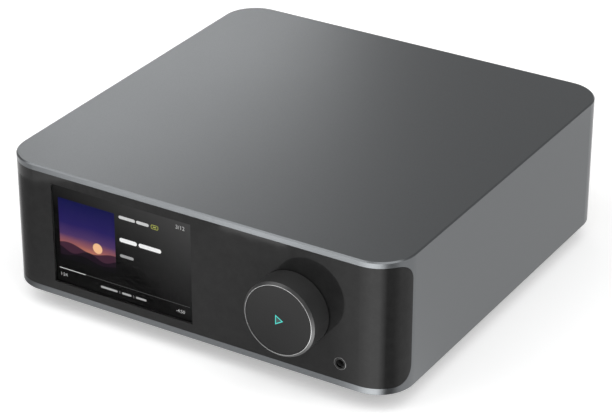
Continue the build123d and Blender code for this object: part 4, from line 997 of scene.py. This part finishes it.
@dataclass
class Picture(SubAssembly):
    """Display and the picture that it shows, made of thin layers under the glass.

    Args:
        layer: Distance from one layer of the picture to the next.
        film: Thickness of a layer.
        inset: Space between the edge of the glass and the lit area.
        box: Left, lower, right and upper side of the lit area, read from the glass.
        back: Y of its rearmost layer.
    """

    layer: float = 0.05 * MM
    film: float = 0.01 * MM
    inset: float = 0.1 * MM
    box: Box = (0.0, 0.0, 0.0, 0.0)
    back: float = 0.0

    def measure(self) -> None:
        """Read the screen's place from the glass and the panel behind it."""
        low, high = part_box("display_glass")
        panel_low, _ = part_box("display_panel")
        self.box = (low.x + self.inset, low.z + self.inset, high.x - self.inset, high.z - self.inset)
        self.back = panel_low.y - self.layer

    def at(self, across: float, upward: float) -> Point:
        """Give the point at these millimetres from the screen's lower left corner."""
        return (self.box[0] + across * MM, self.box[1] + upward * MM)

    def lit(self, name: str, colour: Colour) -> Finish:
        """Give a picture colour that shines by itself."""
        return LitPlastic("screen_" + name, colour, 1.0, grey(0.0), SCREEN_ROUGHNESS, SCREEN_IOR)

    def add_bar(self, shape: Mesh, bar: Bar, level: int = 1) -> None:
        """Add a bar with round ends to a layer.

        Args:
            shape: Mesh to add to.
            bar: Left end, lower side, length and height, in millimetres from the screen's corner.
            level: Number of the layer.
        """
        across, upward, width, height = bar
        x, z = self.at(across, upward)
        points = rounded_bar((x, z, x + width * MM, z + height * MM), height * MM / 2)
        Outline(points, self.back - level * self.layer, self.film).raise_in(shape)

    def make_bars(self, name: str, finish: Finish, *bars: Bar, level: int = 1) -> None:
        """Make a piece of one or more bars.

        Args:
            name: Name of the piece.
            finish: Its finish.
            bars: Left end, lower side, length and height of each bar, in millimetres.
            level: Number of the layer.
        """
        shape = bmesh.new()
        for bar in bars:
            self.add_bar(shape, bar, level)
        self.add(name, shape, finish, "display_panel")

    def make_sheets(self) -> None:
        """Make the dark backlit sheet and the sheet with the square picture over it."""
        shape = bmesh.new()
        Outline(rounded_bar(self.box, 0.3 * MM), self.back, self.film).raise_in(shape)
        self.add("screen_base", shape, ScreenGlow("screen_base", self.box), "display_panel")
        side = 30.0 * MM
        x, z = self.at(2.9, 12.6)
        square = (x, z, x + side, z + side)
        shape = bmesh.new()
        Outline(rounded_bar(square, 0.2 * MM), self.back - self.layer, self.film).raise_in(shape)
        self.add("screen_art", shape, DuskPicture("screen_picture", square), "display_panel")

    def make_badge(self) -> None:
        """Make the small outlined badge beside the labels."""
        width, height, line, radius = 3.8 * MM, 2.1 * MM, 0.28 * MM, 0.7 * MM
        x, z = self.at(52.2, 40.7)
        outer, inner = line_frame((x, z, x + width, z + height), radius, line)
        shape = bmesh.new()
        Outline(outer, self.back - self.layer, self.film, inner).raise_in(shape)
        self.add_bar(shape, (53.2, 41.5, 1.8, 0.5))
        self.add("screen_quality_badge", shape, self.lit("badge", (0.42, 0.45, 0.1)), "display_panel")

    def make_lines(self) -> None:
        """Make the bars that stand in for the title, the labels and the progress line."""
        white = self.lit("white", grey(0.9))
        self.make_bars("screen_title_bars", white, (35.3, 29.6, 9.2, 2.0), (45.4, 29.6, 11.8, 2.0))
        self.make_bars("screen_subtitle_bar", self.lit("grey", grey(0.36)), (35.3, 22.0, 7.2, 1.4))
        labels = ((35.3, 41.0, 8.6, 1.5), (44.5, 41.0, 6.6, 1.5))
        self.make_bars("screen_label_bars", self.lit("pale", grey(0.62)), *labels)
        self.make_badge()
        self.make_bars("screen_track", self.lit("track", grey(0.11)), (2.0, 7.2, 69.4, 0.16))
        self.make_bars("screen_progress", white, (2.0, 7.14, 14.2, 0.28), level=2)
        bars = [(across, 3.3, width, 1.0) for across, width in ((24.2, 9.0), (35.6, 5.0), (43.0, 5.6))]
        ticks = [(across, 3.1, 0.16, 1.4) for across in (34.3, 41.7)]
        self.make_bars("screen_stream_bars", self.lit("pale_small", grey(0.42)), *bars, *ticks)

    def make_number(self, name: str, words: str, across: float, upward: float, height: float) -> None:
        """Make a line of figures.

        Args:
            name: Name of the piece.
            words: The figures.
            across: Left end, in millimetres from the screen's left side.
            upward: Base line, in millimetres from the screen's lower side.
            height: Size of the figures in millimetres.
        """
        curve = bpy.data.curves.new(name, "FONT")
        curve.body = words
        curve.size = height * MM * FONT_SHARE
        curve.extrude = self.film / 2
        curve.resolution_u = 3
        curve.materials.append(self.lit("figures", grey(0.55)).material())
        piece = bpy.data.objects.new(name, curve)
        bpy.context.scene.collection.objects.link(piece)
        x, z = self.at(across, upward)
        piece.location = (x, self.back - self.layer - self.film / 2, z)
        piece.rotation_euler = (math.pi / 2, 0.0, 0.0)
        self.ride(piece, "display_panel")

    def build(self) -> None:
        """Dress the display and make its picture."""
        self.measure()
        self.dress(ClearPart("display_glass", grey(1.0), 0.02, 1.0), "display_glass")
        self.dress(MouldedPlastic("display_panel", grey(0.01), 0.5, 3000.0, 0.01 * MM), "display_panel")
        self.dress(BrushedMetal("bracket", grey(0.55), 0.3), "display_bracket")
        ribbon = Striped("ribbon", grey(0.75), grey(0.5), 0.8 * MM, Bands.ALONG_X, 0.45)
        self.dress(ribbon, "display_ribbon", "control_ribbon")
        self.make_sheets()
        self.make_lines()
        self.make_number("screen_counter", "3/12", 64.9, 44.4, 1.9)
        self.make_number("screen_time_gone", "1:24", 2.2, 3.4, 1.6)
        self.make_number("screen_time_left", "-4:50", 64.2, 3.2, 1.6)


@dataclass
class VolumeKnob(SubAssembly):
    """Volume ring with its lighter front edge, partly polished metal and partly a painted highlight, and the
    lit button inside it.

    Args:
        outline: Width of the play triangle's edge line.
        rise: Height of the edge line over the triangle.
        bevel_from: Radius at which the trim ring's lighter bevel starts, polished metal with a painted
            highlight.
        bevel_to: Radius at which the bevel ends.
    """

    body = "play_button"
    outline: float = 0.36 * MM
    rise: float = 0.05 * MM
    bevel_from: float = 15.0 * MM
    bevel_to: float = 16.25 * MM

    def make_symbol_edge(self) -> None:
        """Make the bright outline of the play triangle."""
        low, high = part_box("play_symbol")
        middle = (low.z + high.z) / 2
        corners = ((low.x, low.z), (high.x, middle), (low.x, high.z))
        centre = Vector((low.x + (high.x - low.x) / 3, middle))
        aways = [Vector(corner) - centre for corner in corners]
        outer = [tuple(centre + away) for away in aways]
        inner = [tuple(centre + away * (1.0 - 2 * self.outline / away.length)) for away in aways]
        shape = bmesh.new()
        Outline(outer, low.y, self.rise, inner).raise_in(shape)
        self.add("play_symbol_edge", shape, LitPlastic("symbol_edge", (0.02, 0.72, 0.62), 1.0), "symbol")

    def build(self) -> None:
        """Dress the knob, the button and their hidden parts."""
        low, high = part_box("volume_knob")
        centre = tuple((low + high) / 2)
        self.dress(SpunMetal("knob", centre, grey(0.031), 0.42, 0.16 * MM, metallic=0.15), "volume_knob")
        # The trim ring's bevel is painted lighter: partly its polished metal, partly a painted edge
        # highlight.
        bevel = {"edge": grey(0.42), "edge_from": self.bevel_from, "edge_to": self.bevel_to}
        self.dress(SpunMetal("knob_trim", centre, grey(0.075), 0.38, 0.14 * MM, **bevel), "knob_trim_ring")
        self.dress(SpunMetal("button_face", centre, grey(0.024), 0.4, 0.2 * MM), "play_button")
        self.dress(LitPlastic("symbol", (0.001, 0.045, 0.04), 1.0, grey(0.004)), "play_symbol")
        self.dress(MouldedPlastic("encoder_wheel", grey(0.02), 0.5), "encoder_wheel")
        steel = BrushedMetal("clip_steel", grey(0.4), 0.3, Run.ALONG_Z)
        self.dress(steel, "knob_retaining_clip", "ground_washer")
        self.dress(MouldedPlastic("washer_white", grey(0.75), 0.45, 900.0, 0.01 * MM), "knob_thrust_washer")
        self.dress(MouldedPlastic("guide", grey(0.03), 0.42), "button_guide")
        self.dress(ClearPart("light_guide", (0.93, 0.97, 0.97), 0.08, 1.49), "button_light_guide")
        self.make_symbol_edge()


@dataclass
class Electronics(SubAssembly):
    """Boards, shields, supply and leads inside the housing."""

    def build(self) -> None:
        """Dress all the parts inside."""
        self.dress(CircuitLaminate("circuit_board"), "main_board", "power_supply_board", "control_board")
        self.dress(BrushedMetal("shield", grey(0.6), 0.28), "processor_shield", "wireless_module")
        self.dress(MouldedPlastic("chips", grey(0.02), 0.5, 2800.0, 0.01 * MM), "circuit_chips")
        self.dress(MouldedPlastic("switch", grey(0.03), 0.45), "push_switch", "encoder_sensor")
        self.dress(MouldedPlastic("plunger", (0.45, 0.06, 0.05), 0.4), "switch_plunger")
        self.dress(LitPlastic("lights", (0.8, 0.9, 0.85), 0.6, grey(0.7)), "indicator_lights")
        copper = (0.5, 0.33, 0.15)
        self.dress(Striped("antenna", copper, grey(0.03), 2.0 * MM, Bands.ALONG_Z, 0.35), "antennas")
        self.dress(MouldedPlastic("board_socket", (0.72, 0.7, 0.6), 0.45, 900.0, 0.01 * MM), "board_sockets")
        sleeves = ((0.02, 0.02, 0.05), (0.03, 0.03, 0.07))
        self.dress(Striped("capacitor", *sleeves, 4.0 * MM, Bands.ALONG_X, 0.3), "filter_capacitors")
        tapes = ((0.62, 0.46, 0.06), (0.42, 0.3, 0.03))
        self.dress(Striped("transformer", *tapes, 1.6 * MM, Bands.ALONG_Z, 0.38), "power_transformer")
        self.dress(BrushedMetal("heatsink", grey(0.6), 0.35, Run.ALONG_Z), "supply_heatsink")
        self.dress(Rubber("lead", grey(0.02), 0.45), "internal_leads")


@dataclass(frozen=True)
class Tongue:
    """Plastic tongue of a socket, with contact strips on its upper and lower faces.

    Args:
        name: Name of the piece.
        node: Socket that holds it.
        half: Half its width.
        bottom: Height of its lower face over the middle of the socket.
        top: Height of its upper face over the middle of the socket.
        count: Number of contacts on a face.
        pitch: Distance between them.
        tone: Level of its plastic.
    """

    name: str
    node: str
    half: float
    bottom: float
    top: float
    count: int
    pitch: float
    tone: float


@dataclass
class RearPanel(SubAssembly):
    """Rear panel and all its sockets.

    Args:
        print_rise: Height of the printed lines over the panel.
        print_line: Width of the printed lines.
        print_margin: Space between a socket and its printed frame, and the radius of the frames' corners.
        pair_side: Space beside the middle of a pair of round sockets, up to its frame.
        pair_end: Space over and under a pair.
        shell_radius: Radius of a round socket's shell.
        contact: Thickness of a sprung contact.
        contact_width: Width of a network contact.
        contact_pitch: Distance between network contacts.
        bends: Bends of a network contact, as millimetres inwards and down.
        recess: Space from a socket's face to the tongue inside it.
        tongue_depth: Length of a tongue.
        light_shift: Space between the network socket's middle and its lights.
    """

    print_rise: float = 0.02 * MM
    print_line: float = 0.28 * MM
    print_margin: float = 1.6 * MM
    pair_side: float = 7.3 * MM
    pair_end: float = 3.2 * MM
    shell_radius: float = 4.55 * MM
    contact: float = 0.3 * MM
    contact_width: float = 0.46 * MM
    contact_pitch: float = 1.02 * MM
    bends: tuple[Point, ...] = ((1.2, 0.0), (2.0, 0.15), (3.0, 0.7), (9.5, 3.4), (11.0, 3.6))
    recess: float = 1.2 * MM
    tongue_depth: float = 9.4 * MM
    light_shift: float = 5.1 * MM

    def add_frame(self, shape: Mesh, box: Box) -> None:
        """Add a printed frame to a mesh.

        Args:
            shape: Mesh to add to.
            box: Its left, lower, right and upper side.
        """
        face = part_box("rear_panel")[1].y
        outer, inner = line_frame(box, self.print_margin, self.print_line)
        Outline(outer, face + self.print_rise, 1.5 * self.print_rise, inner).raise_in(shape)

    def make_prints(self) -> None:
        """Print plain frames round the sockets that belong together, without words."""
        low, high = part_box("rca_shells")
        step = (high.x - low.x - 2 * self.shell_radius) / 2
        shape = bmesh.new()
        for number in range(3):
            middle = low.x + self.shell_radius + number * step
            left, right = middle - self.pair_side, middle + self.pair_side
            self.add_frame(shape, (left, low.z - self.pair_end, right, high.z + self.pair_end))
        margin = self.print_margin
        for node in ("optical_sockets", "hdmi_socket"):
            low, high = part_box(node)
            self.add_frame(shape, (low.x - margin, low.z - margin, high.x + margin, high.z + margin))
        ink = MouldedPlastic("print", grey(0.42), 0.5, 2600.0, 0.002 * MM)
        self.add("rear_prints", shape, ink, "rear_panel")

    def add_strip(self, shape: Mesh, x: float, width: float, path: list[Point]) -> None:
        """Add a bent strip of metal to a mesh.

        Args:
            shape: Mesh to add to.
            x: Middle of the strip.
            width: Width of the strip.
            path: Points of its upper face, as (y, z).
        """
        section = ((-1, 0.0), (1, 0.0), (1, self.contact), (-1, self.contact))
        rows = []
        for y, z in path:
            rows.append([shape.verts.new((x + side * width / 2, y, z - drop)) for side, drop in section])
        for near, far in zip(rows, rows[1:]):
            for step in range(4):
                after = (step + 1) % 4
                shape.faces.new((near[step], near[after], far[after], far[step]))
        shape.faces.new(rows[0])
        shape.faces.new(rows[-1])
        bmesh.ops.recalc_face_normals(shape, faces=shape.faces)

    def make_contacts(self) -> None:
        """Make the network socket's eight sprung contacts."""
        low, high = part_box("ethernet_socket")
        middle, roof = (low.x + high.x) / 2, high.z - 2.25 * MM
        path = [(high.y - run * MM, roof - drop * MM) for run, drop in self.bends]
        shape = bmesh.new()
        for number in range(8):
            self.add_strip(shape, middle + (number - 3.5) * self.contact_pitch, self.contact_width, path)
        self.add("network_contacts", shape, CONTACTS, "plated")

    def make_lights(self) -> None:
        """Make the network socket's two link lights."""
        low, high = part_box("ethernet_socket")
        half, rise, radius = 1.5 * MM, 0.6 * MM, 0.35 * MM
        lights = (("link_light", -1, (0.05, 0.4, 0.08)), ("traffic_light", 1, (0.5, 0.28, 0.03)))
        for name, side, colour in lights:
            x, z = (low.x + high.x) / 2 + side * self.light_shift, high.z - 1.15 * MM
            shape = bmesh.new()
            corners = rounded_bar((x - half, z - rise, x + half, z + rise), radius)
            Outline(corners, high.y + 0.08 * MM, 0.2 * MM).raise_in(shape)
            self.add(name, shape, LitPlastic(name, colour, 0.5, grey(0.2), 0.3), "lights")

    def make_tongue(self, tongue: Tongue) -> None:
        """Make a socket's tongue and its contact strips.

        Args:
            tongue: Sizes of the tongue.
        """
        low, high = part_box(tongue.node)
        middle, level = (low.x + high.x) / 2, (low.z + high.z) / 2
        mouth, bottom, top = high.y - self.recess, level + tongue.bottom, level + tongue.top
        shape = bmesh.new()
        corners = rounded_bar((middle - tongue.half, bottom, middle + tongue.half, top), 0.25 * MM)
        Outline(corners, mouth, self.tongue_depth).raise_in(shape)
        body = MouldedPlastic(tongue.name, grey(tongue.tone), 0.42, 1200.0, 0.006 * MM)
        self.add(tongue.name, shape, body, "switch")
        proud, width = 0.02 * MM, 0.45 * tongue.pitch
        front, rear = mouth - 0.5 * MM, mouth - self.tongue_depth + 1.0 * MM
        shape = bmesh.new()
        for number in range(tongue.count):
            x = middle + (number - (tongue.count - 1) / 2) * tongue.pitch
            for face in (top + proud, bottom - proud + self.contact):
                self.add_strip(shape, x, width, [(front, face), (rear, face)])
        self.add(tongue.name + "_contacts", shape, CONTACTS, "plated")

    def dress_sockets(self) -> None:
        """Dress the rear panel and its sockets."""
        self.dress(MouldedPlastic("rear_panel", grey(0.022), 0.58, 1500.0), "rear_panel")
        self.dress(MouldedPlastic("rca_block", grey(0.02), 0.42), "rca_housings")
        gold = BrushedMetal("plated", (0.83, 0.63, 0.28), 0.18, Run.ALONG_Y)
        self.dress(gold, "rca_shells", "ground_post", "ground_nut")
        inserts = (("white", grey(0.78)), ("red", (0.5, 0.012, 0.015)), ("orange", (0.8, 0.22, 0.015)))
        for name, colour in inserts:
            insert = MouldedPlastic(name + "_insert", colour, 0.4, 900.0, 0.008 * MM)
            self.dress(insert, f"rca_{name}_inserts")
        self.dress(MouldedPlastic("optical", grey(0.025), 0.38), "optical_sockets")
        self.dress(MouldedPlastic("optical_door", grey(0.035), 0.35), "optical_in_door", "optical_out_door")
        self.dress(JACK, "trigger_jack")
        steel = BrushedMetal("socket_steel", grey(0.6), 0.26, Run.ALONG_Y)
        self.dress(steel, "hdmi_socket", "usb_socket", "ethernet_socket")
        self.dress(MouldedPlastic("mains_plastic", grey(0.012), 0.36), "mains_inlet")
        self.dress(BrushedMetal("pins", (0.7, 0.68, 0.62), 0.22, Run.ALONG_Y), "mains_pins")

    def build(self) -> None:
        """Dress the rear panel and make its prints, contacts, lights and tongues."""
        self.dress_sockets()
        self.make_prints()
        self.make_contacts()
        self.make_lights()
        tongues = (
            Tongue("usb_tongue", "usb_socket", 5.56 * MM, 0.18 * MM, 2.24 * MM, 4, 2.3 * MM, 0.7),
            Tongue("hdmi_tongue", "hdmi_socket", 5.76 * MM, -0.56 * MM, 0.56 * MM, 10, 1.0 * MM, 0.015),
        )
        for tongue in tongues:
            self.make_tongue(tongue)


@dataclass
class Studio:
    """Floor, lamps, graded cards, sky and camera.

    Args:
        ambient: Strength of the even light from all sides.
        spot: Where the camera stands.
        azimuth: Turn of the camera round the object from the front, in degrees.
        elevation: Height of the camera over the horizon, in degrees.
        roll: Turn of the camera round its line of sight, in degrees.
        lens: Focal length in millimetres, for the sensor.
        sensor: Width of the sensor in millimetres.
        aim: Point that the soft boxes face.
        floor_drop: Space between the floor and the feet.
        corner: Inner radius of a card that lies round a front corner.
    """

    ambient: float = 0.42
    spot: Place = (0.508705, -0.845131, 0.55129)
    azimuth: float = 31.201
    elevation: float = 27.913
    roll: float = 0.077
    lens: float = 142.24
    sensor: float = 36.0
    aim: Place = (0.0, 0.0, 0.04)
    floor_drop: float = 0.05 * MM
    corner: float = 14.0 * MM

    def make_floor(self) -> None:
        """Make the floor, which isn't part of the object."""
        shape = bmesh.new()
        bmesh.ops.create_grid(shape, x_segments=8, y_segments=8, size=6.0)
        floor = make_object("floor", shape, StudioFloor("floor"))
        floor.location.z = -self.floor_drop

    def make_sky(self) -> None:
        """Set the even light from all sides."""
        world = bpy.data.worlds.new("studio")
        bpy.context.scene.world = world
        world.use_nodes = True
        background = world.node_tree.nodes["Background"]
        background.inputs["Color"].default_value = (1.0, 1.0, 1.0, 1.0)
        background.inputs["Strength"].default_value = self.ambient

    def make_lamp(self, kind: Lamp, place: Place, aim: Place, size: Point, power: float) -> None:
        """Hang a soft box.

        Args:
            kind: Which of the soft boxes it is.
            place: Where it hangs.
            aim: Point that it faces.
            size: Width and height of its face.
            power: Power in watts.
        """
        light = bpy.data.lights.new(kind.value, "AREA")
        light.shape = "RECTANGLE"
        light.size, light.size_y = size
        light.energy = power
        lamp = bpy.data.objects.new(kind.value, light)
        bpy.context.scene.collection.objects.link(lamp)
        lamp.location = place
        lamp.rotation_euler = (Vector(aim) - Vector(place)).to_track_quat("-Z", "Y").to_euler()
        lamp.visible_camera = False

    def make_card(self, name: str, apex: Place, near: float, reach: float, levels: Levels) -> None:
        """Lay a graded card on the floor, for the object's sides to mirror.

        Args:
            name: Name of the card.
            apex: Place of the card's centre.
            near: Inner radius of the card.
            reach: Outer radius of the card.
            levels: Directions in degrees, from the front towards the right, and the card's level in each.
        """
        start, end = levels[0][0], levels[-1][0]
        count = 48
        turns = [math.radians(start + (end - start) * step / count) for step in range(count + 1)]
        rays = [(math.sin(turn), -math.cos(turn)) for turn in turns]
        shape = bmesh.new()
        inner, outer = [[shape.verts.new((far * x, far * y, 0.0)) for x, y in rays] for far in (near, reach)]
        for step in range(count):
            shape.faces.new((inner[step], outer[step], outer[step + 1], inner[step + 1]))
        card = make_object(name, shape, GradedCard(name, levels))
        card.location = apex
        card.visible_camera = False
        card.visible_diffuse = False
        card.visible_shadow = False

    def make_cards(self) -> None:
        """Lay the cards round the front corners, in front and along the right side."""
        right = ((-42.0, 1.0), (-14.0, 2.9), (8.0, 4.0), (30.0, 4.0), (52.0, 0.2), (70.0, 0.25), (92.0, 1.1))
        self.make_card("right_card", (0.086, -0.091, 0.0004), self.corner, 0.16, right)
        left = ((-125.0, 1.1), (-106.0, 0.8), (-88.0, 0.4), (-62.0, 0.35), (-45.0, 0.5), (-28.0, 0.75))
        left += ((-8.0, 1.0), (15.0, 1.05))
        self.make_card("left_card", (-0.086, -0.091, 0.0003), self.corner, 0.13, left)
        front = ((-9.5, 0.8), (-7.4, 1.0), (-5.4, 4.4), (6.5, 4.4), (11.0, 1.0))
        self.make_card("front_card", (-0.03, 0.9, 0.0002), 1.105, 1.42, front)
        side = ((60.0, 1.2), (100.0, 1.1), (130.0, 1.0), (150.0, 0.9), (178.0, 0.8))
        self.make_card("side_card", (0.09, -0.075, 0.00015), self.corner, 0.32, side)

    def make_camera(self) -> None:
        """Set the camera at the photograph's view."""
        turn, rise = math.radians(self.azimuth), math.radians(self.elevation)
        back = Vector((math.sin(turn) * math.cos(rise), -math.cos(turn) * math.cos(rise), math.sin(rise)))
        right = Vector((math.cos(turn), math.sin(turn), 0.0))
        basis = Matrix((right, back.cross(right), back)).transposed().to_4x4()
        lean = Matrix.Rotation(math.radians(self.roll), 4, "Z")
        data = bpy.data.cameras.new("photo_camera")
        data.lens = self.lens
        data.sensor_width = self.sensor
        data.sensor_fit = "HORIZONTAL"
        camera = bpy.data.objects.new("photo_camera", data)
        bpy.context.scene.collection.objects.link(camera)
        camera.matrix_world = Matrix.Translation(self.spot) @ basis @ lean
        bpy.context.scene.camera = camera

    def build(self) -> None:
        """Set up the whole studio."""
        self.make_floor()
        self.make_sky()
        self.make_lamp(Lamp.TOP, (0.75, -0.45, 1.35), self.aim, (1.5, 1.5), 11.0)
        self.make_lamp(Lamp.LID, (-0.673, 0.866, 0.54), (0.0, 0.866, 0.54), (0.62, 0.08), 0.88)
        self.make_lamp(Lamp.EDGE, (-0.6, -0.7, 1.1), self.aim, (1.0, 1.0), 6.0)
        self.make_cards()
        self.make_camera()
        bpy.context.scene.view_settings.view_transform = "Standard"


def main() -> None:
    """Build the streamer group by group, then the studio round it."""
    logging.basicConfig(level=logging.INFO, format="%(name)s: %(message)s")
    for group in (Housing(), FrontPanel(), Picture(), VolumeKnob(), Electronics(), RearPanel(), Studio()):
        LOG.info("building %s", type(group).__name__)
        group.build()


if __name__ == "__main__":
    main()
